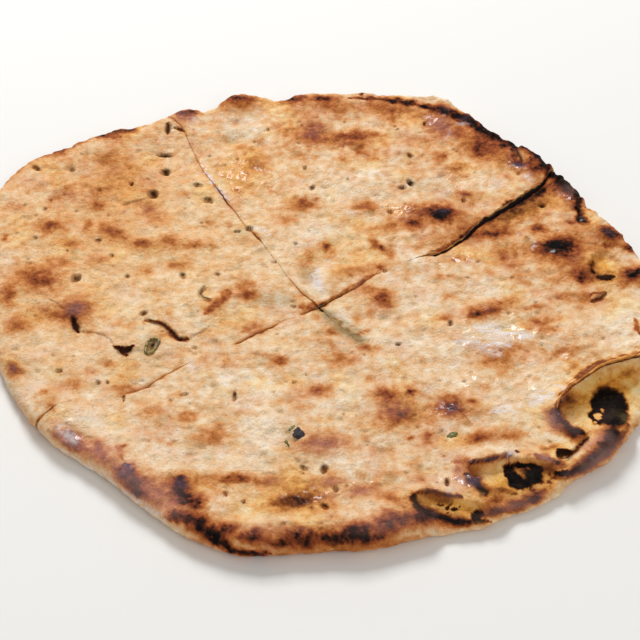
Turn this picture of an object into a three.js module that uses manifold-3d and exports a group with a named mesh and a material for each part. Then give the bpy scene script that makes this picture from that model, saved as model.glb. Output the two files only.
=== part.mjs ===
// A round naan bread, cut crosswise into four quarters that still lie together.
// Millimetres, +Z up. The bread lies flat on Z = 0, +X runs to its right and +Y to its back, and
// the origin is the middle of its footprint. Each quarter is a solid of its own: a crust with
// bubbles, dimples and burst blisters on top, a rolled rim outside and two cut faces inside.

import * as THREE from 'three';
import * as BufferGeometryUtils from 'three/addons/utils/BufferGeometryUtils.js';
import Module from 'manifold-3d';

const wasm = await Module();
wasm.setup();

// ---------------------------------------------------------------------------- driving sizes
const THICKNESS = 6.4; // the crumb between the bubbles
const KERF = 0.4; // the slit that the knife leaves
const GAP = 1.8; // the slit between back and right quarters, where it stands open
const GAP_OPENS = [0.42, 0.62]; // along the cut, 0 at the middle of the bread and 1 at its rim
const GAP_CLOSES = [0.86, 1.0];
const GAP_LIFT = 1.5; // how far the back quarter's edge stands up along the open slit
const LIFT_STARTS = [0.3, 0.62];
const LIFT_REACH = 26; // how far into the back quarter that lift fades

const CELLS = 32; // steps along each cut, and along each half of a quarter's rim
const WALL_STEPS = 4; // steps from the top of a wall down to the underside
const RIM_BLEND = 8; // the rim turns from the cut's direction to its own over this length
const FINE_STEPS = 12; // points on each stretch of a smooth line before it is evened out

const RIPPLES = 9; // gentle swells of the dough, each shorter and lower than the one before
const RIPPLE_LENGTH = 58;
const RIPPLE_HEIGHT = 0.4;
const GOLDEN_ANGLE = Math.PI * (3 - Math.sqrt(5));

// ---------------------------------------------------------------------------- the four cuts
// Each runs from the middle of the bread to its rim, as the knife wandered.
const MIDDLE = [1.5, -10.5];
const RIGHT_CUT = [MIDDLE, [12, -2], [22, 7], [32, 13.6], [41, 17.4], [48, 20.2], [56, 27], [63, 34.4],
  [70, 40.4], [80, 49.4], [88, 56.4], [94.6, 67]];
const BACK_CUT = [MIDDLE, [-8, 3], [-17, 20], [-27, 37], [-36, 53], [-44, 68], [-50, 83],
  [-54, 93], [-61, 101]];
const LEFT_CUT = [MIDDLE, [-7, -15], [-18, -21], [-29, -29], [-40, -35], [-51, -43], [-62, -51],
  [-73, -55], [-84, -59], [-95, -67]];
const FRONT_CUT = [MIDDLE, [9, -20], [17, -29], [27, -38], [38, -49], [50, -62], [56, -71],
  [62, -80], [68, -89], [75, -99]];

// ---------------------------------------------------------------------------- the rim
// Hand-stretched dough: each stretch runs anticlockwise from one cut to the next.
const BACK_RIM = [[94.6, 67], [90.2, 75.2], [81.8, 83.6], [70.6, 94.6], [63.4, 103.6], [56, 113],
  [46, 117.6], [34, 118], [21, 120], [6, 118], [-7, 117], [-15, 113.8], [-22, 117], [-31, 117],
  [-38, 112], [-43, 107.8], [-52, 106.4]];
const LEFT_RIM = [[-61, 101], [-71, 96], [-81, 95], [-94, 87], [-107, 79], [-118, 69],
  [-124, 56], [-127, 37], [-126, 14], [-121, -12], [-112, -37], [-103, -55]];
const FRONT_RIM = [[-95, -67], [-86, -76], [-73, -86], [-61, -97], [-49, -108], [-37, -116],
  [-23, -121], [-5, -120], [16, -119], [31, -115], [44, -111.4], [56, -108.8], [66, -103.4]];
const RIGHT_RIM = [[75, -99.4], [87.6, -89.2], [99, -81], [107, -70.8], [113.6, -59.4], [120, -45],
  [125, -28], [127, -10], [126, 6], [121, 20], [115, 32], [108, 43], [104, 53.4], [99, 61]];
const RIMS = [BACK_RIM, LEFT_RIM, FRONT_RIM, RIGHT_RIM];

// Each quarter lies between two cuts, anticlockwise from the first. The bulge is how far its rim
// rounds out past the top edge, and the roll is how much higher the rim is than the middle.
const QUARTERS = [
  { name: 'quarter_back', first: RIGHT_CUT, second: BACK_CUT, bulge: 3.6, roll: 0.9, tone: '#d9a871' },
  { name: 'quarter_left', first: BACK_CUT, second: LEFT_CUT, bulge: 4.4, roll: 1.4, tone: '#dcae78' },
  { name: 'quarter_front', first: LEFT_CUT, second: FRONT_CUT, bulge: 5.2, roll: 2.8, tone: '#d6a46d' },
  { name: 'quarter_right', first: FRONT_CUT, second: RIGHT_CUT, bulge: 4.0, roll: 0.8, tone: '#ddb280' },
];
const ROLL_MIDDLE = 8; // the roll's crest stands this far in from the rim's outermost line
const ROLL_WIDTH = 8;

// ---------------------------------------------------------------------------- relief
// Ovals on the crust: middle, length and width, turn in degrees, and how far they rise.
const BUBBLES = [
  { at: [-32, 109], size: [17, 12], turn: 0, rise: 3.0 },
  { at: [-53, 101], size: [13, 9], turn: 20, rise: 1.4 },
  { at: [0, 110], size: [26, 12], turn: 0, rise: 1.2 },
  { at: [18, 84], size: [24, 15], turn: -20, rise: 1.3 },
  { at: [50, 108], size: [26, 9], turn: -35, rise: 1.8 },
  { at: [80, 76], size: [18, 10], turn: -60, rise: 1.6 },
  { at: [48, 40], size: [18, 12], turn: -10, rise: 1.5 },
  { at: [-5, 46], size: [12, 12], turn: 0, rise: 1.1 },
  { at: [20, 45], size: [13, 10], turn: 0, rise: 1.1 },
  { at: [2, 1], size: [11, 15], turn: -20, rise: 1.8 },
  { at: [-101, 3], size: [21, 15], turn: 35, rise: 2.2 },
  { at: [-87, -10], size: [16, 13], turn: 0, rise: 1.7 },
  { at: [-34, -9], size: [30, 10], turn: 46, rise: 1.8 },
  { at: [-99, 33], size: [15, 11], turn: 0, rise: 1.0 },
  { at: [-79, 32], size: [22, 12], turn: -25, rise: 1.0 },
  { at: [-59, -28], size: [20, 13], turn: 60, rise: 2.0 },
  { at: [-84, -62], size: [20, 13], turn: -30, rise: 2.4 },
  { at: [-16, -70], size: [40, 24], turn: 70, rise: 1.8 },
  { at: [26, -57], size: [28, 15], turn: -65, rise: 1.5 },
  { at: [2, -76], size: [22, 15], turn: 0, rise: 1.2 },
  { at: [47, -61], size: [14, 10], turn: 0, rise: 1.2 },
  { at: [-8, -101], size: [20, 10], turn: 15, rise: 1.2 },
  { at: [57, -73], size: [17, 8], turn: 8, rise: 2.6 },
  { at: [50, -93], size: [10, 13], turn: 30, rise: 2.8 },
  { at: [94, -80], size: [26, 10], turn: 42, rise: 2.4 },
  { at: [92, 23], size: [18, 15], turn: 15, rise: 1.7 },
  { at: [61, -13], size: [22, 11], turn: 22, rise: 1.4 },
  { at: [25, -6], size: [14, 13], turn: 0, rise: 1.2 },
  { at: [84, -24], size: [44, 13], turn: 12, rise: 1.0 },
  { at: [97, 61], size: [16, 8], turn: -55, rise: 3.2 },
  { at: [113, 28], size: [18, 9], turn: -50, rise: 2.2 },
  { at: [119, 8], size: [15, 10], turn: 70, rise: 2.6 },
];

// Dents, which are bubbles that sink.
const DENTS = [
  { at: [-3, 5], size: [6, 11], turn: 15, rise: -2.6 },
  { at: [-34, 86], size: [10, 8], turn: 25, rise: -2.0 },
  { at: [-22, 84], size: [5, 8], turn: 10, rise: -1.4 },
  { at: [-32, 97], size: [6, 6], turn: 0, rise: -1.4 },
  { at: [-59, 76], size: [9, 4], turn: -10, rise: -1.6 },
  { at: [-59, 65], size: [5, 8], turn: 0, rise: -1.6 },
  { at: [-62, 52], size: [5, 5], turn: 0, rise: -1.6 },
  { at: [-42, 49], size: [7, 4], turn: -20, rise: -1.4 },
  { at: [-88, 4], size: [5, 6], turn: 0, rise: -1.6 },
  { at: [-48, 6], size: [5, 9], turn: 0, rise: -1.3 },
  { at: [-29, -1], size: [8, 5], turn: 30, rise: -0.9 },
  { at: [-67, -33], size: [9, 7], turn: 20, rise: -2.6 },
  { at: [4, -89], size: [6, 5], turn: 0, rise: -1.4 },
  { at: [10, -62], size: [9, 6], turn: -15, rise: -1.2 },
  { at: [84, -81], size: [14, 6], turn: 30, rise: -2.6 },
];

// Blisters that burst in the oven: an oval hollow whose torn lip stands up on the side that the
// lip angle gives, in degrees from +X. The floor is the height of the crumb left inside.
const BLISTERS = [
  { at: [105, -54], size: [50, 20], turn: 47, floor: 2.8, lip: 4.6, lipTurn: 135 },
  { at: [67, -87], size: [36, 17], turn: 14, floor: 2.8, lip: 2.4, lipTurn: 105 },
  { at: [45, -101], size: [27, 11], turn: -16, floor: 3.0, lip: 1.6, lipTurn: 80 },
  { at: [109, 13], size: [16, 14], turn: 80, floor: 4.2, lip: 1.2, lipTurn: 200 },
];
const BLISTER_WALL = 0.3; // the wall takes up this share of the hollow's radius
const LIP_WIDTH = 0.2;
const LIP_FACING = [-0.2, 0.8]; // the lip is full where it faces its angle, and gone behind it

// Slits torn right into the crumb: a bent line from end to end, widest in the middle.
const TEARS = [
  { quarter: 'quarter_left', line: [[-62, -17], [-57, -19], [-52, -25], [-46, -28]], width: 1.8 },
  { quarter: 'quarter_left', line: [[-88, -13], [-87, -19], [-86, -25]], width: 1.9 },
];
const TEAR_FLOOR = 2.4;
const TEAR_TOP = 30;

// Bits of herb and chilli baked onto the crust: an oval bead, sunk by half.
const HERBS = [
  { quarter: 'quarter_front', at: [-5, -72.5], size: [4.2, 6.4, 2.2], turn: -10 },
  { quarter: 'quarter_front', at: [-9, -76], size: [2.0, 3.6, 1.4], turn: -25 },
  { quarter: 'quarter_front', at: [47, -72.5], size: [5.2, 2.6, 1.6], turn: 15 },
];
const BEAD_FACETS = [8, 5]; // round and up
const BEAD_STANDS = 0.1; // the bead's middle above the crust
const CHILLI_RING = { quarter: 'quarter_left', at: [-57, -31], radius: 2.6, thick: 0.8, turn: -25 };
const RING_FACETS = [5, 10]; // round its thickness and along it
const RING_TILT = 0.3; // radians
const RING_STANDS = 0.2;

// ---------------------------------------------------------------------------- lines
function smooth(low, high, value) {
  return THREE.MathUtils.smoothstep(value, low, high);
}

function smoothLine(points, closed) {
  const corners = points.map(([x, y]) => new THREE.Vector3(x, y, 0));
  const curve = new THREE.CatmullRomCurve3(corners, closed, 'catmullrom', 0.5);
  const stretches = closed ? points.length : points.length - 1;
  return curve.getPoints(stretches * FINE_STEPS).map((point) => new THREE.Vector2(point.x, point.y));
}

function lineLengths(line) {
  const lengths = [0];
  for (let i = 1; i < line.length; i += 1) {
    lengths.push(lengths[i - 1] + line[i].distanceTo(line[i - 1]));
  }
  return lengths;
}

// Points at equal steps along a line, leaving out a length at its start and at its end.
function evenly(line, steps, skipStart, skipEnd) {
  const lengths = lineLengths(line);
  const total = lengths[lengths.length - 1];
  const result = [];
  let next = 1;
  for (let i = 0; i <= steps; i += 1) {
    const along = skipStart + (total - skipStart - skipEnd) * (i / steps);
    while (next < line.length - 1 && lengths[next] < along) {
      next += 1;
    }
    const share = (along - lengths[next - 1]) / (lengths[next] - lengths[next - 1]);
    result.push(line[next - 1].clone().lerp(line[next], share));
  }
  return result;
}

function direction(line, i) {
  const before = line[Math.max(i - 1, 0)];
  const after = line[Math.min(i + 1, line.length - 1)];
  return after.clone().sub(before).normalize();
}

function leftOf(vector) {
  return new THREE.Vector2(-vector.y, vector.x);
}

const OUTLINE = smoothLine(RIMS.flat(), true);

function rimStretch(index) {
  const start = RIMS.slice(0, index).flat().length * FINE_STEPS;
  const steps = RIMS[index].length * FINE_STEPS;
  return OUTLINE.slice(start, start + steps + 1);
}

function rimDistance(x, y) {
  let nearest = Infinity;
  for (const point of OUTLINE) {
    nearest = Math.min(nearest, Math.hypot(point.x - x, point.y - y));
  }
  return nearest;
}

// ---------------------------------------------------------------------------- crust height
// 0 in the middle of an oval, 1 on its edge.
function ovalRadius(x, y, { at, size, turn }) {
  const angle = THREE.MathUtils.degToRad(turn);
  const dx = x - at[0];
  const dy = y - at[1];
  const along = dx * Math.cos(angle) + dy * Math.sin(angle);
  const across = dy * Math.cos(angle) - dx * Math.sin(angle);
  return Math.hypot(along / (size[0] / 2), across / (size[1] / 2));
}

function ripple(x, y) {
  let height = 0;
  for (let wave = 0; wave < RIPPLES; wave += 1) {
    const turn = wave * GOLDEN_ANGLE;
    const length = RIPPLE_LENGTH / (1 + 0.45 * wave);
    const along = x * Math.cos(turn) + y * Math.sin(turn);
    const phase = 2 * Math.PI * (along / length) + 1.7 * wave * wave;
    height += (RIPPLE_HEIGHT / (1 + 0.3 * wave)) * Math.cos(phase);
  }
  return height;
}

// A blister takes the crust down to its floor and stands its lip up on one side.
function burst(height, x, y, blister) {
  const radius = ovalRadius(x, y, blister);
  const outside = smooth(1 - BLISTER_WALL, 1, radius);
  const bearing = Math.atan2(y - blister.at[1], x - blister.at[0]);
  const facing = Math.cos(bearing - THREE.MathUtils.degToRad(blister.lipTurn));
  const crest = Math.exp(-(((radius - 1) / LIP_WIDTH) ** 2));
  const lip = blister.lip * crest * smooth(...LIP_FACING, facing);
  return THREE.MathUtils.lerp(blister.floor, height, outside) + lip;
}

function crustHeight(x, y, quarter) {
  const fromRim = rimDistance(x, y);
  let height = THICKNESS + ripple(x, y);
  height += quarter.roll * Math.exp(-(((fromRim - ROLL_MIDDLE) / ROLL_WIDTH) ** 2));
  for (const oval of [...BUBBLES, ...DENTS]) {
    const radius = ovalRadius(x, y, oval);
    height += oval.rise * Math.exp(-radius * radius);
  }
  if (quarter.name === 'quarter_back') {
    height += slitLift(x, y);
  }
  for (const blister of BLISTERS) {
    height = burst(height, x, y, blister);
  }
  return height;
}

const RIGHT_CUT_LINE = smoothLine(RIGHT_CUT, false);

// The back quarter rides up along the open part of the slit.
function slitLift(x, y) {
  let nearest = Infinity;
  let share = 0;
  RIGHT_CUT_LINE.forEach((point, i) => {
    const distance = Math.hypot(point.x - x, point.y - y);
    if (distance < nearest) {
      nearest = distance;
      share = i / (RIGHT_CUT_LINE.length - 1);
    }
  });
  return GAP_LIFT * smooth(...LIFT_STARTS, share) * (1 - smooth(0, LIFT_REACH, nearest));
}

// ---------------------------------------------------------------------------- one quarter
function halfGap(cut, share) {
  if (cut !== RIGHT_CUT) {
    return KERF / 2;
  }
  const open = smooth(...GAP_OPENS, share) * (1 - smooth(...GAP_CLOSES, share));
  return THREE.MathUtils.lerp(KERF, GAP, open) / 2;
}

// The cut edge of a quarter, from the middle out to the top of the rim. The side is +1 where the
// quarter lies to the left of the cut and -1 where it lies to the right.
function cutEdge(cut, side, bulge) {
  const line = evenly(smoothLine(cut, false), CELLS, 0, bulge);
  return line.map((point, i) => {
    const away = leftOf(direction(line, i)).multiplyScalar(side * halfGap(cut, i / CELLS));
    return point.clone().add(away);
  });
}

// The rim's outermost line, the direction that it faces, and the line where the top ends.
function rimEdges(stretch, firstEdge, secondEdge, bulge) {
  const outer = evenly(stretch, 2 * CELLS, KERF / 2, KERF / 2);
  const last = outer.length - 1;
  const startFacing = direction(firstEdge, CELLS);
  const endFacing = direction(secondEdge, CELLS);
  const lengths = lineLengths(outer);
  const facings = outer.map((point, i) => {
    const facing = leftOf(direction(outer, i)).negate();
    const fromStart = smooth(0, RIM_BLEND, lengths[i]);
    const fromEnd = smooth(0, RIM_BLEND, lengths[last] - lengths[i]);
    return facing.multiplyScalar(fromStart * fromEnd)
      .addScaledVector(startFacing, 1 - fromStart)
      .addScaledVector(endFacing, 1 - fromEnd)
      .normalize();
  });
  const inner = outer.map((point, i) => point.clone().addScaledVector(facings[i], -bulge));
  inner[0] = firstEdge[CELLS];
  inner[last] = secondEdge[CELLS];
  return { inner, facings };
}

// A patch stretched between two cut edges and the two halves of the rim: each inner point is the
// blend of its four edge points, less the blend of the four corners.
function patchPoint(u, v, first, second, inner) {
  const i = Math.round(u * CELLS);
  const j = Math.round(v * CELLS);
  const point = new THREE.Vector2();
  point.addScaledVector(first[i], 1 - v).addScaledVector(inner[2 * CELLS - i], v);
  point.addScaledVector(second[j], 1 - u).addScaledVector(inner[j], u);
  point.addScaledVector(first[0], -(1 - u) * (1 - v)).addScaledVector(first[CELLS], -u * (1 - v));
  point.addScaledVector(second[CELLS], -(1 - u) * v).addScaledVector(inner[CELLS], -u * v);
  return point;
}

// The patch's border, anticlockwise from the middle of the bread, as places in its grid.
function borderPlaces() {
  const steps = Array.from({ length: CELLS }, (unused, step) => step);
  return [
    ...steps.map((step) => [step, 0]),
    ...steps.map((step) => [CELLS, step]),
    ...steps.map((step) => [CELLS - step, CELLS]),
    ...steps.map((step) => [0, CELLS - step]),
  ];
}

function quarterGeometry(quarter, index) {
  const first = cutEdge(quarter.first, 1, quarter.bulge);
  const second = cutEdge(quarter.second, -1, quarter.bulge);
  const tip = first[0].clone().add(second[0]).sub(new THREE.Vector2(...MIDDLE));
  first[0] = tip;
  second[0] = tip;
  const { inner, facings } = rimEdges(rimStretch(index), first, second, quarter.bulge);

  const points = [];
  const faces = [];
  const row = CELLS + 1;
  for (let j = 0; j <= CELLS; j += 1) {
    for (let i = 0; i <= CELLS; i += 1) {
      const { x, y } = patchPoint(i / CELLS, j / CELLS, first, second, inner);
      points.push([x, y, crustHeight(x, y, quarter)]);
    }
  }
  for (let j = 0; j < CELLS; j += 1) {
    for (let i = 0; i < CELLS; i += 1) {
      const corner = j * row + i;
      faces.push([corner, corner + 1, corner + row + 1], [corner, corner + row + 1, corner + row]);
    }
  }

  const border = borderPlaces();
  let above = border.map(([i, j]) => j * row + i);
  for (let step = 1; step <= WALL_STEPS; step += 1) {
    const slope = Math.PI * (0.5 - step / WALL_STEPS);
    const ring = border.map(([i, j]) => {
      const [x, y, top] = points[j * row + i];
      const rimPlace = i === CELLS ? j : 2 * CELLS - i;
      const onRim = i === CELLS || j === CELLS;
      const out = onRim ? quarter.bulge * Math.cos(slope) : 0;
      const facing = onRim ? facings[rimPlace] : new THREE.Vector2();
      points.push([x + out * facing.x, y + out * facing.y, (top * (1 + Math.sin(slope))) / 2]);
      return points.length - 1;
    });
    ring.forEach((below, place) => {
      const next = (place + 1) % ring.length;
      faces.push([above[place], below, ring[next]], [above[place], ring[next], above[next]]);
    });
    above = ring;
  }

  const underside = above.map((place) => new THREE.Vector2(points[place][0], points[place][1]));
  for (const [a, b, c] of THREE.ShapeUtils.triangulateShape(underside, [])) {
    faces.push([above[a], above[c], above[b]]);
  }

  const geometry = new THREE.BufferGeometry();
  geometry.setAttribute('position', new THREE.Float32BufferAttribute(points.flat(), 3));
  geometry.setIndex(faces.flat());
  return geometry;
}

// ---------------------------------------------------------------------------- joins and cuts
function toSolid(geometry) {
  const bare = geometry.clone();
  bare.deleteAttribute('normal');
  bare.deleteAttribute('uv');
  const merged = BufferGeometryUtils.mergeVertices(bare, 1e-4);
  return new wasm.Manifold(new wasm.Mesh({
    numProp: 3,
    vertProperties: new Float32Array(merged.attributes.position.array),
    triVerts: new Uint32Array(merged.index.array),
  }));
}

function toGeometry(solid) {
  const { vertProperties, triVerts } = solid.getMesh();
  const geometry = new THREE.BufferGeometry();
  geometry.setAttribute('position', new THREE.Float32BufferAttribute(vertProperties, 3));
  geometry.setIndex(new THREE.Uint32BufferAttribute(triVerts, 1));
  geometry.computeVertexNormals();
  return geometry;
}

// A blade along the tear's line, as wide in the middle as the tear and pointed at its ends.
function tearBlade({ line, width }) {
  const points = smoothLine(line, false).filter((point, i) => i % (FINE_STEPS / 3) === 0);
  const last = points.length - 1;
  const sides = [1, -1].map((side) => points.slice(1, last).map((point, i) => {
    const half = (width / 2) * Math.sin((Math.PI * (i + 1)) / last);
    return point.clone().addScaledVector(leftOf(direction(points, i + 1)), side * half);
  }));
  const outline = [points[0], ...sides[1], points[last], ...sides[0].reverse()];
  const blade = new THREE.ExtrudeGeometry(new THREE.Shape(outline), {
    depth: TEAR_TOP - TEAR_FLOOR, bevelEnabled: false,
  });
  return blade.translate(0, 0, TEAR_FLOOR);
}

function herbBead({ at, size, turn }, quarter) {
  const bead = new THREE.SphereGeometry(0.5, ...BEAD_FACETS);
  bead.rotateX(Math.PI / 2);
  bead.scale(...size);
  bead.rotateZ(THREE.MathUtils.degToRad(turn));
  return bead.translate(at[0], at[1], crustHeight(at[0], at[1], quarter) + BEAD_STANDS);
}

function chilliRing({ at, radius, thick, turn }, quarter) {
  const ring = new THREE.TorusGeometry(radius, thick, ...RING_FACETS);
  ring.rotateX(RING_TILT);
  ring.rotateZ(THREE.MathUtils.degToRad(turn));
  return ring.translate(at[0], at[1], crustHeight(at[0], at[1], quarter) + RING_STANDS);
}

function quarterSolid(quarter, index) {
  let solid = toSolid(quarterGeometry(quarter, index));
  for (const tear of TEARS.filter((item) => item.quarter === quarter.name)) {
    solid = solid.subtract(toSolid(tearBlade(tear)));
  }
  for (const herb of HERBS.filter((item) => item.quarter === quarter.name)) {
    solid = solid.add(toSolid(herbBead(herb, quarter)));
  }
  if (CHILLI_RING.quarter === quarter.name) {
    solid = solid.add(toSolid(chilliRing(CHILLI_RING, quarter)));
  }
  return solid;
}

// ---------------------------------------------------------------------------- the bread
function crustMaterial(tone) {
  return new THREE.MeshStandardMaterial({ color: tone, roughness: 0.62, metalness: 0 });
}

const naan = new THREE.Group();
QUARTERS.forEach((quarter, index) => {
  const mesh = new THREE.Mesh(toGeometry(quarterSolid(quarter, index)), crustMaterial(quarter.tone));
  mesh.name = quarter.name;
  naan.add(mesh);
});

export default naan;
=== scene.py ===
"""A round naan bread, cut crosswise into four quarters that still lie together.

Each quarter is one closed surface: a crust with bubbles, pits, scorch marks and burst blisters on
top, a rolled rim outside, two cut faces of crumb inside and a baked underside. Lengths are in
millimetres until a mesh is written, which is in metres. +Z is up, +X runs to the bread's right and
+Y to its back, and the origin is the middle of its footprint.
"""

from __future__ import annotations

import itertools
import logging
import math
from dataclasses import dataclass, field, replace
from enum import Enum

import bpy
import numpy as np
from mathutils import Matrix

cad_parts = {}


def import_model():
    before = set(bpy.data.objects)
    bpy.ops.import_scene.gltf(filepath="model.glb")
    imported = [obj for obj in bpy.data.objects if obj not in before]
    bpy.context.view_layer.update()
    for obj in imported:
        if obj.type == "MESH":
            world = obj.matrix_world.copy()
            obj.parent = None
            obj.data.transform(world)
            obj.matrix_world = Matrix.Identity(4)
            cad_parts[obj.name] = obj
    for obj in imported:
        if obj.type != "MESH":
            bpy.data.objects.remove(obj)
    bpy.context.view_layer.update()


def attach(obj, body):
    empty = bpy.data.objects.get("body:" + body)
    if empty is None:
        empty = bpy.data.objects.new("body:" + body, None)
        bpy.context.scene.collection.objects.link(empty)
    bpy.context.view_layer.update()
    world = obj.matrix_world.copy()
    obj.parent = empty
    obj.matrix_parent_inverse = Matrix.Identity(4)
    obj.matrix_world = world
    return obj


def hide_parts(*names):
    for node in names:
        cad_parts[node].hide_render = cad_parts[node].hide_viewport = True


LOG = logging.getLogger("naan")
MM = 0.001  # metres in a millimetre
Array = np.ndarray
Socket = bpy.types.NodeSocket
Tree = bpy.types.NodeTree

# ----------------------------------------------------------------------------- driving sizes
THICKNESS = 6.4  # the crumb between the bubbles
THINNEST = 1.2  # what is left under the deepest hole
RIM_GAP = 0.2  # what the knife takes off the rim's length on each side of a cut
GAP_LIFT = 1.5  # how far the back quarter's edge stands up along the open slit
LIFT_STARTS = (0.3, 0.62)  # along the cut, 0 at the middle of the bread and 1 at its rim
LIFT_REACH = 26.0  # how far into the back quarter that lift fades

# Each pair below is where something begins and where it has fully come, unless it says otherwise.
CELLS = 240  # steps along each cut, and along each half of a quarter's rim
WALL_STEPS = 14  # rings from the top of a wall down to the underside
FINE_STEPS = 12  # points on each stretch of a smooth line before it is evened out
CUT_STEPS = 400  # steps along the lines that distances from a cut are measured to
COARSE = 8  # a coarse line keeps every eighth point of a fine one
BLOCK = 6000  # how many points are measured against a line at once
BASE_INSET = 1.2  # how far inside the lowest ring the underside's own grid begins

SLIT_SHOWS = (0.04, 0.40)  # the slit's widths between which a cut comes to show
CUT_STEADY = 0.04  # the share of a cut, from the middle, over which it begins to wander
CUT_RETREAT = 0.12  # how far the crust tears back from an open cut
TORN_LEVEL, TORN_LENGTH, TORN_SHIFT = 0.4, 2.4, 55.0  # how much is torn, and its noise
TORN_GAPS = (0.02, 0.2)  # half the slit's widths between which its edges are torn
BITE = 1.5  # how deep the ragged bites are in the raised edge of the open slit
BITE_LENGTH, BITE_SHIFT, BITE_MOST = 5.5, 90.0, 0.6
BITE_GAPS = (0.3, 0.8)  # half the slit's widths between which it is bitten
CUT_PRESS, CUT_PRESS_WIDTH = 0.55, 0.9  # how far and how wide the knife pressed the crust down
PORE_LEVEL, PORE_SIZE, PORE_DEPTH = 0.25, 2.0, 0.35  # the pores of a cut face
CRUMB_STRIP = (0.15, 0.8)  # the depths between which the open slit's wall turns from pale crumb to painted shade
SLIT_SHADE_WIDTHS = (0.1, 0.5)  # the slit's widths between which the painted shade on its wall comes
SLIT_SHADE_REACH = 3.0  # how far from the open slit's line its walls lie
SLIT_SHADE_PATCHES = 1.6  # how far down the pale strip reaches in patches

RIM_BLEND = 8.0  # the rim turns from the cut's direction to its own over this length
ROLL_MIDDLE, ROLL_WIDTH = 8.0, 8.0  # how far in from the rim its roll crests, and how wide it is
ROLL_MEETS = 16.0  # two neighbours' rims come to one height over this distance from their cut
RIM_LUMP = 0.75  # how far the rim's lumps stand out
RIM_CALM = 5.0  # the lumps fade over this distance from a cut
CORNER_X, CORNER_Y = (70, 77), (10, 18)  # where the burnt corner begins
KNOB_HEIGHT = 1.1  # the burnt corner's rim is knobbly on top and along its line
LEDGE_DROP = 2.0  # the lower layer of the back rim lies this far below its burnt upper edge
LEDGE_WIDTH, LEDGE_STEP = 4.2, 0.6  # how wide the lower layer is, and half the step up from it
LEDGE_STARTS = (34.0, 46.0)  # the x between which the two layers part
LEDGE_ENDS = (57.0, 63.0)  # and between which they meet again
RIDGE_STARTS = (28, 36)  # the y between which the back rim's ridge rises
CREST_HEIGHT, CREST_WIDTH, CREST_LUMPS = 0.8, 1.5, 4.0  # the ridge, and the size of its lumps
CREST_PLACES = (3.4, LEDGE_WIDTH + 1.4)  # its distance from the rim, on one layer and on two

RIPPLES = 9  # gentle swells of the dough, each shorter and lower than the one before
RIPPLE_LENGTH, RIPPLE_SHORTENS = 58.0, 0.45
RIPPLE_HEIGHT, RIPPLE_LOWERS = 0.4, 0.3
RIPPLE_PHASE = 1.7
GOLDEN_ANGLE = 180 * (3 - math.sqrt(5))  # degrees

# Marks wrap over the rim along a line that leans towards the front: a point above or below
# MARK_PLANE takes the mark that lies LEAN times its height difference further back or front.
MARK_PLANE = 8.0
LEAN = 1.02
BACK_DROP = 2.6  # below this depth the back rim's side turns under, and its browning fades
BEHIND = (30, 80)  # the y between which that begins to hold
UNDER_FADE, UNDER_FADES = 0.7, (0.5, 4.5)  # how much the browning fades, and the depths
OVAL_REACH = 1.15  # how many times its length or width an oval can be felt
STROKE_REACH = 1.2  # how many times its width a stroke can be felt
STROKE_END = 0.25  # how wide a stroke is at its ends, as a share of its width
CRISP_OVAL, CRISP_STROKE = (0.8, 1.12), (0.7, 1.15)  # the edges, in half widths
HOLE_WALL, HOLE_SHADE = (0.2, 1.25), (0.2, 1.15)  # a hole's wall and its part darkened by painted shade, in half widths
DARK_HOLE, DARK_CRACK = 1.5, 1.6  # the depths at which the painted shade in a hole and a crack is full

# How the crust is baked, from 0 for raw dough to 1 for charcoal.
PLAIN_BAKE = 0.25  # where no mark lies
PALE_BAKE, PALE_SHARE = 0.05, 0.85  # where it stayed pale, and how much of that shows
EVENNESS = 0.6  # how much of the plain crust's unevenness is gone where it browned evenly
CUT_SHADE, CUT_SHADE_WIDTH = 0.5, 0.7  # painted shade along the edges of an open cut, and how wide it is
OLIVE_BURNS, ROSE_BURNS = 1.8, 1.5  # how fast these tints go where the crust is scorched
STAIN_LEVEL = 0.95
DUST_EDGE = (-0.45, 0.12)

# Noises. Each row has the amount, the size of a cell and a shift that keeps the rows apart.
SKIN_SWELLS = ((0.36, 12.0, 0), (0.19, 1.5, 0))
SKIN_GRAIN = ((0.32, 3.0, 40),)
CREASE_LEVEL, CREASES = 0.225, ((0.5, 6.0, 0),)
STRETCHES = ((0.2, (5.5, 3.6, 5.0), 25),)
LEDGE_WAVES = ((0.9, 6.0, 0), (0.5, 2.5, 0))
RIM_SWELLS = ((0.7, 16.0, 0), (0.45, 6.0, 9))
RIM_GRAIN = ((0.25, 2.6, 0),)
KNOBS = ((KNOB_HEIGHT, 3.6, 0),)
CUT_WANDER = ((0.22, 4.0, 0), (0.11, 1.7, 30))  # how far a cut strays from its smooth line
FLOOR_SWELLS, FLOOR_GRAIN = ((0.7, 6.0, 0),), ((0.3, 2.5, 0),)
FLAP_RAGS = ((0.6, 5.0, 0), (0.35, 1.6, 30))
FLAP_WAVES = ((0.35, 5.0, 0),)
FLAP_SPOTS = ((0.12, 2.4, 0),)
CHILLI_RIPPLES = ((0.3, 1.5, 0),)
RAGGED = ((0.5, 2.6, 0), (0.25, 1.2, 0)), 80.0  # the edges of pits and cracks, with the shift for y
WANDER = ((0.8, 5.0, 0), (0.65, 2.2, 20), (0.4, 1.1, 35)), 70.0  # of the marks
TORN_EDGE = ((0.5, 2.4, 0),), 60.0  # and of the burst blisters
PATCHES = ((0.25, 3.0, 30), (0.22, 1.3, 90))  # the browning
PLAIN = ((0.08, 19.0, 0), (0.11, 7.0, 11), (0.15, 2.8, 51))  # the crust where no mark lies
STREAKS = ((0.5, (3.0, 1.2, 2.0), 5),)  # the stains
DUST = ((1.0, (2.6, 1.2, 2.0), 7),)  # the flour and the painted highlights

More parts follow.
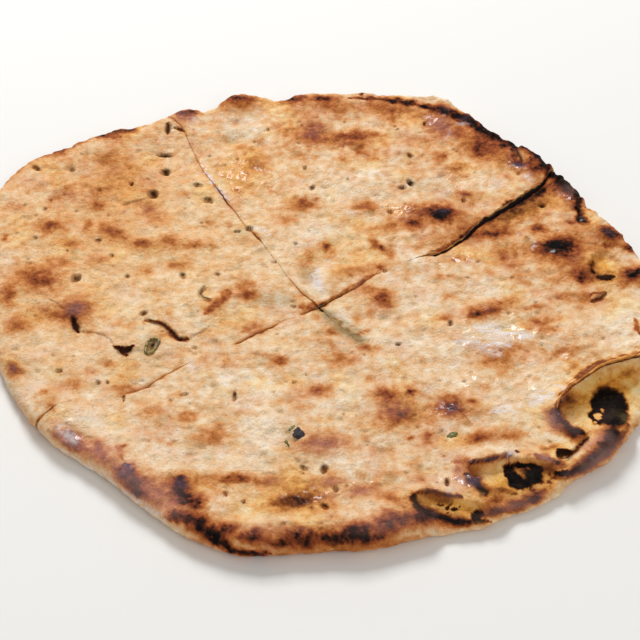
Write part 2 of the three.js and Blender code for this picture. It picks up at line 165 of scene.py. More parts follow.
FLAP_CURL = (-0.35, math.radians(115))  # the angles of a torn flap's foot and its tip
FLAP_STUB = 0.15  # what is left of its height at its ends
FLAP_INSET, FLAP_ROOT = 0.3, 0.5  # how far inside and how far below the torn edge it starts
CRUMPLE_SIZE = 0.8  # the crumples of a herb, in half lengths
HERB_SITS, CHILLI_SITS = 0.12, 0.25  # how high their middle lies, in heights
CHILLI_SPLIT = 0.15  # the angle from its end to the middle of its split

# Settings of shader nodes.
EASED = {"interpolation_type": "SMOOTHSTEP"}
BLENDED = {"data_type": "RGBA"}
TIMES = {"operation": "MULTIPLY", "use_clamp": True}

# ----------------------------------------------------------------------------- cuts and rim
@dataclass(frozen=True)
class Cut:
    """A knife cut from the middle of the bread to its rim, as the knife wandered."""

    points: tuple
    shares: tuple  # places along the cut, 0 in the middle of the bread and 1 at the rim
    widths: tuple  # how wide the slit stands open at those places

    def half_gap(self, share: Array) -> Array:
        """Half the slit's width, straight between the named places."""
        return np.interp(share, self.shares, self.widths) / 2


MIDDLE = (1.5, -10.5)
RIGHT_CUT = Cut(
    points=(MIDDLE, (12, -2), (22, 7), (32, 13.6), (41, 17.4), (48, 20.2), (56, 27), (63, 34.4),
            (70, 41), (80, 50.2), (87.4, 57.4), (94.4, 67)),
    shares=(0.0, 0.14, 0.20, 0.28, 0.39, 0.43, 0.52, 0.62, 0.78, 0.86, 0.92, 1.0),
    widths=(0.9, 0.5, 0.35, 0.06, 0.10, 0.45, 0.7, 1.0, 1.8, 1.9, 1.3, 0.1))
BACK_CUT = Cut(
    points=(MIDDLE, (-8, 3), (-17, 20), (-27, 37), (-36, 53), (-44, 68), (-50, 83), (-54, 93),
            (-61, 101)),
    shares=(0.0, 0.10, 0.20, 0.33, 0.36, 0.40, 0.50, 0.56, 0.60, 0.64, 0.80, 1.0),
    widths=(0.3, 0.22, 0.10, 0.14, 0.6, 0.16, 0.20, 0.45, 0.5, 0.24, 0.14, 0.2))
LEFT_CUT = Cut(
    points=(MIDDLE, (-7, -15), (-18, -21), (-29, -29), (-40, -35), (-51, -43), (-62, -51),
            (-73, -55), (-84, -59), (-95, -67)),
    shares=(0.0, 0.05, 0.08, 0.14, 0.20, 0.29, 0.33, 0.48, 0.52, 0.70, 0.74, 0.95, 1.0),
    widths=(0.7, 0.4, 0.08, 0.16, 0.5, 0.45, 0.04, 0.04, 0.25, 0.3, 0.05, 0.05, 0.6))
FRONT_CUT = Cut(
    points=(MIDDLE, (9, -20), (17, -29), (27, -38), (38, -49), (50, -62), (56, -71), (62, -80),
            (68, -89), (75, -99)),
    shares=(0.0, 0.03, 0.18, 0.22, 0.30, 0.56, 0.60, 0.66, 0.70, 1.0),
    widths=(0.9, 0.05, 0.05, 0.05, 0.04, 0.04, 0.14, 0.14, 0.03, 0.03))
CUTS = (RIGHT_CUT, BACK_CUT, LEFT_CUT, FRONT_CUT)

# Hand-stretched dough: each stretch of the rim runs anticlockwise from one cut to the next.
BACK_RIM = ((94.6, 67), (90.2, 75.2), (81.8, 83.6), (70.6, 94.6), (63.4, 103.6), (56, 113),
            (46, 117.6), (34, 118), (21, 120), (6, 118), (-7, 117), (-15, 113.8), (-22, 117),
            (-31, 117), (-38, 112), (-43, 107.8), (-52, 106.4))
LEFT_RIM = ((-61, 101), (-71, 96), (-81, 95), (-94, 87), (-107, 79), (-118, 69), (-124, 56),
            (-127, 37), (-126, 14), (-121, -12), (-112, -37), (-103, -55))
FRONT_RIM = ((-95, -67), (-86, -76), (-73, -86), (-61, -97), (-49, -108), (-37, -116),
             (-23, -121), (-5, -120), (16, -119), (31, -115), (44, -111.4), (56, -108.8), (66, -103.4))
RIGHT_RIM = ((75, -99.4), (87.6, -89.2), (99, -81), (107, -70.8), (113.6, -59.4), (120, -45), (125, -28),
             (127, -10), (126, 6), (121, 20), (115, 32), (108, 43), (104, 53.4), (99, 61))
RIMS = (BACK_RIM, LEFT_RIM, FRONT_RIM, RIGHT_RIM)


# ----------------------------------------------------------------------------- small helpers
def smooth(low: float, high: float, value: Array | float) -> Array:
    """Rises from 0 at low to 1 at high as 3t^2 - 2t^3, with t the share of the way."""
    t = np.clip((np.asarray(value, float) - low) / (high - low), 0.0, 1.0)
    return t * t * (3 - 2 * t)


def lerp(a: Array | float, b: Array | float, share: Array) -> Array:
    """a where share is 0 and b where it is 1."""
    return a + (b - a) * share


def bell(distance: Array, width: float = 1.0) -> Array:
    """exp(-(distance / width)^2)."""
    return np.exp(-((distance / width) ** 2))


def covered(*shares: Array) -> Array:
    """How much of a whole several layers cover together: 1 - (1 - a)(1 - b)..., each from 0 to 1."""
    return 1 - math.prod(1 - np.clip(share, 0, 1) for share in shares)


def grounded(at: Array) -> Array:
    """The places at z = 0."""
    return np.column_stack([at[:, :2], np.zeros(len(at))])


def turned(x: Array, y: Array, degrees: float) -> tuple[Array, Array]:
    """Places turned anticlockwise about the origin."""
    angle = math.radians(degrees)
    return x * math.cos(angle) - y * math.sin(angle), x * math.sin(angle) + y * math.cos(angle)


def smooth_line(points: tuple, closed: bool = False) -> Array:
    """A smooth line through given points.

    Each stretch is the cubic whose slope at a point is half the step between its neighbours.

    Args:
        points: the points, each (x, y) or (x, y, z).
        closed: whether the last point leads back to the first.

    Returns:
        FINE_STEPS points for each stretch, and the last one.
    """
    p = np.array(points, float)
    if closed:
        p = np.vstack([p[-1:], p, p[:2]])
    else:
        p = np.vstack([2 * p[0] - p[1], p, 2 * p[-1] - p[-2]])
    slope = (p[2:] - p[:-2]) / 2
    t = (np.arange(FINE_STEPS) / FINE_STEPS)[None, :, None]
    start, end = p[1:-2, None], p[2:-1, None]
    rise, fall = slope[:-1, None], slope[1:, None]
    line = ((2 * t**3 - 3 * t**2 + 1) * start + (t**3 - 2 * t**2 + t) * rise
            + (3 * t**2 - 2 * t**3) * end + (t**3 - t**2) * fall)
    return np.vstack([line.reshape(-1, p.shape[1]), p[-2:-1]])


def lengths_along(line: Array) -> Array:
    """The length of the line up to each of its points."""
    return np.concatenate([[0.0], np.cumsum(np.linalg.norm(np.diff(line, axis=0), axis=1))])


def evenly(line: Array, steps: int, skip_start: float = 0.0, skip_end: float = 0.0) -> Array:
    """Points at equal steps along a line, leaving out a length at its start and at its end."""
    along = lengths_along(line)
    wanted = np.linspace(skip_start, along[-1] - skip_end, steps + 1)
    return np.stack([np.interp(wanted, along, axis) for axis in line.T], axis=1)


def directions(line: Array) -> Array:
    """The unit direction of a line at each of its points, from the point before to the next."""
    step = np.vstack([line[1:], line[-1:]]) - np.vstack([line[:1], line[:-1]])
    return step / np.linalg.norm(step, axis=1, keepdims=True)


def left_of(vectors: Array) -> Array:
    """Each vector turned a quarter turn anticlockwise."""
    return np.stack([-vectors[:, 1], vectors[:, 0]], axis=1)


def nearest(at: Array, line: Array) -> tuple[Array, Array]:
    """How far places are from a line's closest point.

    Args:
        at: the places, one row each.
        line: the line's points, close together.

    Returns:
        The distances, and the numbers of the closest points in the line.
    """
    distance, place = np.empty(len(at)), np.empty(len(at), int)
    for start in range(0, len(at), BLOCK):
        part = slice(start, start + BLOCK)
        away = np.hypot(at[part, :1] - line[:, 0], at[part, 1:2] - line[:, 1])
        place[part] = away.argmin(axis=1)
        distance[part] = away.min(axis=1)
    return distance, place


def close_to(at: Array, line: Array, reach: float) -> tuple[Array, Array, Array]:
    """The places that lie within reach of a line, found by way of a coarser line.

    Args:
        at: the places.
        line: the line's points, close together.
        reach: the distance.

    Returns:
        The places' numbers, their distances, and the numbers of the closest points in the line.
    """
    coarse = np.vstack([line[::COARSE], line[-1:]])
    slack = COARSE * np.linalg.norm(np.diff(line[:, :2], axis=0), axis=1).max()
    rough, _ = nearest(at, coarse)
    found = np.flatnonzero(rough < reach + slack)
    distance, place = nearest(at[found], line)
    kept = distance < reach
    return found[kept], distance[kept], place[kept]


def inside_of(at: Array, outline: Array) -> Array:
    """Whether places are inside a closed outline: a ray from each crosses an odd number of sides.

    Args:
        at: the places.
        outline: the outline's points.

    Returns:
        True for each place that is inside.
    """
    x, y = at[:, 0], at[:, 1]
    odd = np.zeros(len(at), bool)
    for (ax, ay), (bx, by) in zip(outline[:, :2], np.roll(outline[:, :2], -1, axis=0)):
        if ay != by:
            odd ^= ((ay > y) != (by > y)) & (x < ax + (y - ay) * (bx - ax) / (by - ay))
    return odd


class DoughNoise:
    """Smooth random values in space, the same on every run."""

    ENTRIES = 256
    SCALE = 1.6  # brings the values to about -1 to 1

    def __init__(self, seed: int) -> None:
        """Draws the slopes that the values are made from.

        Args:
            seed: what the random numbers start from.
        """
        draw = np.random.default_rng(seed)
        slopes = draw.normal(size=(self.ENTRIES, 3))
        self.slopes = slopes / np.linalg.norm(slopes, axis=1, keepdims=True)
        self.order = draw.permutation(self.ENTRIES)

    def at(self, points: Array, size: float | tuple) -> Array:
        """Gradient noise: the slopes at a cell's eight corners, blended by 6t^5 - 15t^4 + 10t^3.

        Args:
            points: the places, one row each.
            size: the size of a cell, one length or one for each axis.

        Returns:
            Values from about -1 to 1.
        """
        scaled = points / np.asarray(size, float)
        cell = np.floor(scaled).astype(int)
        inside = scaled - cell
        fade = inside**3 * (inside * (inside * 6 - 15) + 10)
        total = np.zeros(len(points))
        for corner in itertools.product((0, 1), repeat=3):
            offset = np.array(corner)
            key = np.zeros(len(points), int)
            for axis in range(3):
                key = self.order[(key + cell[:, axis] + offset[axis]) % self.ENTRIES]
            weight = np.prod(np.where(offset, fade, 1 - fade), axis=1)
            total += weight * np.einsum("ij,ij->i", self.slopes[key], inside - offset)
        return self.SCALE * total

    def layers(self, points: Array, rows: tuple) -> Array:
        """Noises added up, from rows of an amount, a size of cells and a shift of the points."""
        return sum(amount * self.at(points + shift, size) for amount, size, shift in rows)

    def move(self, at: Array, points: Array, rows: tuple, shift: float) -> Array:
        """Places moved in x and y by the layers at the points, which are shifted for y."""
        return at[:, :2] + np.column_stack([self.layers(points + by, rows) for by in (0.0, shift)])


SWELL_NOISE = DoughNoise(11)
SKIN_NOISE = DoughNoise(23)
MARK_NOISE = DoughNoise(37)


# ----------------------------------------------------------------------------- marks and forms
@dataclass(frozen=True)
class Oval:
    """An oval on the crust, soft at its edge unless it is crisp."""

    x: float
    y: float
    length: float
    width: float
    amount: float
    turn: float = 0.0  # degrees anticlockwise
    crisp: bool = False

    def radius(self, at: Array) -> Array:
        """0 in the middle of the oval, 1 on its edge."""
        along, across = turned(at[:, 0] - self.x, at[:, 1] - self.y, -self.turn)
        return np.hypot(along / (self.length / 2), across / (self.width / 2))

    def near(self, at: Array) -> Array:
        """The numbers of the places that the oval can touch."""
        far = OVAL_REACH * max(self.length, self.width)
        return np.flatnonzero((np.abs(at[:, 0] - self.x) < far) & (np.abs(at[:, 1] - self.y) < far))

    def touch(self, at: Array) -> tuple[Array, Array]:
        """The places that it touches and how much: amount exp(-r^2), or a step at r = 1."""
        near = self.near(at)
        r = self.radius(at[near])
        return near, self.amount * (1 - smooth(*CRISP_OVAL, r) if self.crisp else bell(r))


@dataclass(frozen=True)
class Stroke:
    """A bent band on the crust, soft at its edge unless it is crisp."""

    points: tuple
    width: float
    amount: float
    crisp: bool = False

    def touch(self, at: Array) -> tuple[Array, Array]:
        """The places that it touches and how much: amount exp(-d^2), or a step at d = 1.

        The distance d from the line is in half widths. The band thins out at its two ends.

        Args:
            at: the places.

        Returns:
            The numbers of the places that it touches, and its amount at each of them.
        """
        line = smooth_line(self.points)
        line = evenly(line, max(8, int(4 * lengths_along(line)[-1])))
        near, distance, place = close_to(at, line, STROKE_REACH * self.width)
        share = place / (len(line) - 1)
        half = self.width / 2 * lerp(STROKE_END, 1.0, np.sqrt(np.sin(math.pi * share).clip(0)))
        d = distance / half
        return near, self.amount * (1 - smooth(*CRISP_STROKE, d) if self.crisp else bell(d))


def ovals(*rows: tuple, crisp: bool = False) -> tuple[Oval, ...]:
    """Ovals from rows of x, y, length, width, amount and, where it isn't 0, turn."""
    return tuple(Oval(*row, crisp=crisp) for row in rows)


def strokes(*rows: tuple, crisp: bool = False) -> tuple[Stroke, ...]:
    """Strokes from rows of width, amount and the points of the line."""
    return tuple(Stroke(tuple(line), width, amount, crisp) for width, amount, *line in rows)


def laid_over(marks: tuple, at: Array) -> Array:
    """The marks together: each covers its amount of what the others leave, 1 - (1 - a)(1 - b).

    Args:
        marks: ovals and strokes.
        at: the places.

    Returns:
        How much the marks cover of each place.
    """
    left = np.ones(len(at))
    for mark in marks:
        touched, amount = mark.touch(at)
        left[touched] *= 1 - np.clip(amount, 0, 1)
    return 1 - left


@dataclass(frozen=True)
class Crater:
    """A blister that burst: an outline with the height of its torn edge at each point."""

    outline: tuple
    floor: float
    wall: float  # how wide its wall is in plan
    reach: float  # how far the crust outside is drawn up to the edge

    def shape(self, height: Array, at: Array) -> None:
        """Sinks this crater into the crust.

        Outside, the crust blends to the edge's height as exp(-(d / reach)^2). Inside, the edge
        falls to the floor as a smooth step over the wall's width.

        Args:
            height: the crust's height, which is changed.
            at: the places.
        """
        line = smooth_line(self.outline, closed=True)
        middle = line[:, :2].mean(axis=0)
        far = 2.5 * self.reach + np.linalg.norm(line[:, :2] - middle, axis=1).max()
        near = np.flatnonzero(np.linalg.norm(at - middle, axis=1) < far)
        if not len(near):
            return
        flat = grounded(at[near])
        torn = SKIN_NOISE.move(flat, flat, *TORN_EDGE)
        distance, place = nearest(torn, line)
        edge = line[place, 2]
        outer = lerp(height[near], edge, bell(distance, self.reach))
        floor = self.floor + SWELL_NOISE.layers(flat, FLOOR_SWELLS) + SKIN_NOISE.layers(flat, FLOOR_GRAIN)
        inner = lerp(edge, floor, smooth(0.0, self.wall, distance))
        height[near] = np.where(inside_of(torn, line), inner, outer)

    def lip(self, first: int, last: int, width: float, amount: float, lower: float) -> Stroke:
        """A mark along the torn edge.

        Args:
            first: the number of the outline's point where it starts.
            last: the number of the point where it ends.
            width: its width.
            amount: its amount.
            lower: how far down the inner wall it lies.

        Returns:
            The stroke, in the plane of the marks.
        """
        edge = self.outline[first:last + 1]
        line = tuple((x, y - (MARK_PLANE - z + lower) * LEAN) for x, y, z in edge)
        return Stroke(line, width, amount)


class Tone(Enum):
    """What a point on the bread can carry, from 0 to 1, besides the colour of plain dough."""

    BAKE = "bake"
    OCHRE = "ochre"
    # a painted bluish-purple reflection of the light on the char
    ASH = "char_sheen"
    # rosy brown, and painted pink highlights and sheen
    ROSE = "rose_and_sheen"
    # painted shade in holes, pinholes and cracks, darker for deeper ones
    PIT = "pit_shade"
    STAIN = "stain"
    # grey-olive tints, and painted shade in dents and hollows
    OLIVE = "olive_and_shade"
    # flour, and painted white highlights and glints
    FLOUR = "flour_and_glint"
    GLOSS = "gloss"


# Bubbles of the dough that stand up, and dents that sink.
BUBBLES = ovals(
    (-32, 109, 17, 12, 3), (-53, 101, 13, 9, 1.4, 20), (0, 110, 26, 12, 1.2),
    (18, 84, 24, 15, 1.3, -20), (50, 108, 26, 9, 1.8, -35), (80, 76, 18, 10, 1.6, -60),
    (48, 40, 18, 12, 1.5, -10), (-5, 46, 12, 12, 1.1), (20, 45, 13, 10, 1.1), (2, 1, 11, 15, 1.8, -20),
    (-101, 3, 21, 15, 2.2, 35), (-87, -10, 16, 13, 1.7), (-34, -9, 30, 10, 1.8, 46),
    (-99, 33, 15, 11, 1), (-79, 32, 22, 12, 1, -25), (-59, -32, 20, 10, 1.9, 15),
    (-84, -62, 20, 13, 2.4, -30), (-16, -70, 40, 24, 1.8, 70), (26, -57, 28, 15, 1.5, -65),
    (2, -76, 22, 15, 1.2), (47, -61, 14, 10, 1.2), (-8, -101, 20, 10, 1.2, 15),
    (57, -73, 17, 8, 1.2, 8), (92, 23, 18, 15, 1.7, 15), (61, -13, 22, 11, 1.4, 22),
    (25, -6, 14, 13, 1.2), (84, -24, 44, 13, 1, 12), (97, 61, 16, 8, 3.2, -55),
    (113, 28, 18, 9, 2.2, -50), (119, 8, 15, 10, 2.6, 70), (-55, 24, 9, 8, .8), (-65, 23, 9, 7, .8),
    (-46, 23, 10, 6, .6), (-107, -21, 11, 9, .9), (-25, -92, 14, 8, .9), (-34, -74, 10, 9, .9),
    (-112, -4, 9, 12, 1.2), (64, 88, 12, 12, 1), (60, -82, 15, 6, 1.6, 10),
)
DENTS = ovals(
    (77, 39, 6, 3, -.9, 30), (-2, 5, 6, 10, -2.8, 15), (-33.5, 86, 9, 7, -2.4, 20),
    (-22, 83, 4, 7, -1.8, 10), (-32, 97, 5, 4, -1.4), (-48, 6, 5, 9, -1), (-29, -1, 8, 5, -.7, 30),
    (-76, 47, 9, 4, -1.5, -20), (-40, -3, 4, 11, -1.3), (10, -62, 9, 5, -1.6), (-91, 63, 8, 5, -1),
    (-82, 63, 7, 4, -.9), (51, 52, 4, 8, -1, 60), (-28, -56, 4, 8, -1.8), (-26, -107, 8, 5, -1.2),
    (25, 94, 4, 7, -.9, 80), (96, 5, 5, 9, -.8, 30), (-97, 67, 5, 4, -1), (-50, 71, 5, 6, -1),
    (-57.5, -30, 10, 6, -2.4, 55), (-60, -25, 6, 5, .8, 20), (-59, 65, 6, 8, -1), (-63, 52, 8, 7, -.8),
    (-44, 56, 8, 5, -.8, -20), (-42, 49, 7, 5, -.8, -20),
)
# Holes that the docking and the steam left, with steep sides: x, y, length, width, turn, depth.
HOLES = ovals(
    (-63, 52.5, 4.6, 4.6, 4.5), (-60, 76, 7, 2.2, 3.4, -8), (-59, 66, 3.4, 4.4, 3.2, 70),
    (-88.5, 4, 3.6, 4.6, 3.6, -30), (-41.5, 49, 4.2, 2.6, 2.6, -25), (-46, 57.5, 4.6, 1.8, 2, -10),
    (-25, 32, 3.2, 2.8, 3.6), (-4, 68, 1.8, 2.6, 3), (-1, 56, 2.2, 3.4, 3.4, -30),
    (34, 56, 4.2, 2.4, 2.6), (37.5, 59, 2.6, 4.4, 3.4, 30), (29, 41.5, 2.4, 2.2, 2.6),
    (44.5, 96, 1.8, 3, 2.2), (-110, 67.5, 4.4, 2.4, 2.2, -30), (-72, 58.5, 1.6, 2.2, 2),
    (-49, 6, 2.8, 3, 2.4), (49, -19.5, 1.8, 3.4, 3.2), (30, -30.5, 2.4, 1.6, 2.4, 20),
    (3.5, -88.5, 3.2, 4.2, 3, -20), (-3.5, -88, 3.6, 2.4, 2.4, -30), (3.5, -104.5, 3.2, 2, 2.8, -30),
    (44, -94.5, 2.2, 3, 3), (7, -97, 1.8, 2.4, 2.4), (-45, -55, 3.8, 1.6, 2, 20),
    (-27.6, -55, 1.6, 4.6, 2.2), (-7.5, -11, 2, 1.6, 2.6), (-89.5, -43.5, 2.4, 1.8, 2.6),
    (-75.5, -49, 1.6, 2.2, 2.4, 30), (-72, -49, 1.4, 2.4, 2, 20), (-29, -99.5, 1.8, 1.6, 2),
    (-23, -103, 1.6, 1.4, 2), (57.5, 48, 1.6, 2.4, 2), (26, 8, 1.8, 1.6, 1.8), (-7, -49, 1.6, 1.2, 1.8),
    (-43, -32, 1.8, 1.4, 1.8), (88, 45, 3.2, 2.8, 2.2), (-62, -14.5, 3, 2.6, 2, 30),
    (84, -82, 5.8, 3.6, 3.4, 15), (-96, 67, 2.4, 2.2, 1.4), (-104, 43, 2.2, 2.6, 1),
    (38, 75.5, 2.4, 3.6, 1.6, 30), (13, 61, 1.6, 2.2, 1), (-19, 92, 1.4, 2, 1.4),
    (-31, 73.5, 1.6, 1.4, 1.2), (-15, 13, 2.8, 1.6, 1.6), (-29.5, 30, 3, 1.6, 1.8, 10),
    (-36, 6, 3, 2.4, 1.2), (-69.5, 5, 2.2, 2.4, 1.2), (-76, 16.5, 1.8, 1.8, 1.4),
    (-82, 25, 3.2, 2.4, 1.4), (-57.5, -31, 4.6, 1.6, 2, 62), (-93, 19.5, 1.4, 1.4, 1.2),
    (-106, 26.5, 2, 1.8, 1.2), (-7, 23, 2.6, 1.8, 1.2),
)
# Cracks and slits: a bent line with its width and depth.
CRACKS = strokes(
    (2, 1.5, (-61, -18), (-58, -19.2), (-54.6, -20.6), (-52, -23.4), (-50, -25.8), (-48, -27.6),
     (-45.2, -27.4)), (1, .9, (-45.5, -28), (-41, -24.5), (-37.5, -20.5)),
    (2.4, 2, (-87.4, -16.5), (-86.5, -20.5), (-85.4, -24.5)),
    (.9, .7, (-97, -7), (-93.5, -9.8), (-90, -13)),
    (.9, .8, (-85.5, -24), (-79, -24.6), (-74, -27), (-71, -31)),
    (1, .8, (-75, 46), (-70, 47.5), (-64, 49.5)), (1.2, 1.6, (-58, 92.5), (-55.5, 92.4), (-53, 90.5)),
    (2, 1.8, (-59.5, 96), (-59.5, 89)),
    (1.1, 1.5, (-40.5, 0), (-41.8, -3.5), (-40.8, -6.3), (-37.5, -7.3)),
    (1.6, 1.6, (80.5, 84), (80.5, 78), (82, 71)), (1.6, 1.6, (101, 52), (101.8, 45), (101.5, 36)),
    (1.9, 1.6, (101, -8.6), (104.5, -6.6), (107, -4)),
    (3.6, 2, (-70, -31.8), (-67.4, -33.8), (-65, -32)), (.8, 1.4, (-66, -55), (-65.6, -58)),
    (1.5, 1.8, (93, -74.4), (89.6, -78.6), (86.4, -82.6), (84.6, -85.4)),
) + strokes(
    (2.4, 3.2, (104, 4.4), (107.5, 4.2), (111, 5)),
    crisp=True)

EAST_BLISTER = Crater(
    outline=((87, -70, 9.2), (82.5, -63, 10), (84, -58, 10.8), (88.5, -53.2, 11.4),
             (93, -49.8, 11.6), (97.5, -46, 12), (101, -43.6, 11.8), (106, -41.5, 11.6),
             (112, -39.2, 11.2), (118, -37, 10.4), (122, -33.5, 8.5), (121.5, -38, 5.6),
             (117, -46, 5), (111, -56, 4.8), (105, -64.5, 4.8), (99, -68.5, 5.4), (92.5, -71.5, 7.6)),
    floor=6, wall=3, reach=3.2)
MIDDLE_BLISTER = Crater(
    outline=((50.4, -88.6, 9.4), (52.5, -86.6, 9.9), (56, -85.6, 10.3), (60, -84.6, 10.6),
             (64.5, -83.4, 10.3), (68, -84, 8.8), (72, -83.4, 8.8), (77, -85, 8.6), (81.6, -88, 6.4),
             (80, -91, 4.8), (72, -95.6, 4.6), (64, -98.6, 4.6), (59.5, -99, 5.2), (56, -97.6, 7.4),
             (53, -94.2, 8.6), (50.8, -91, 9)),
    floor=5.8, wall=2.9, reach=2.9)
SOUTH_BLISTER = Crater(
    outline=((31, -101, 7.6), (35, -98, 8.8), (41, -98.8, 9.4), (46, -101, 9), (52, -101.6, 8.2),
             (56, -103, 6.6), (55.5, -106, 4.4), (48, -107.4, 4.2), (39.5, -106.6, 4.6),
             (33.5, -103.6, 6.4)),
    floor=5.2, wall=2.4, reach=2.4)
OLIVE_HOLLOW = Crater(
    outline=((103.5, 6, 7.4), (101.5, 11, 7.8), (103, 17, 7.4), (107, 21, 7), (112, 20, 6.2),
             (115.5, 15, 5.8), (115, 9, 6.4), (109, 4.5, 8.4)),
    floor=4.4, wall=3, reach=3)
CRATERS = (EAST_BLISTER, MIDDLE_BLISTER, SOUTH_BLISTER, OLIVE_HOLLOW)

# The rolled fold between the east and middle blisters, and its round back.
FOLD_LINE = ((84.6, -88.4), (89.6, -85), (94.2, -80.8), (98.4, -75.8), (101.2, -70.8), (102.4, -67.6))
FOLD_RADIUS = 4.6
FOLD_TOP = 8.8


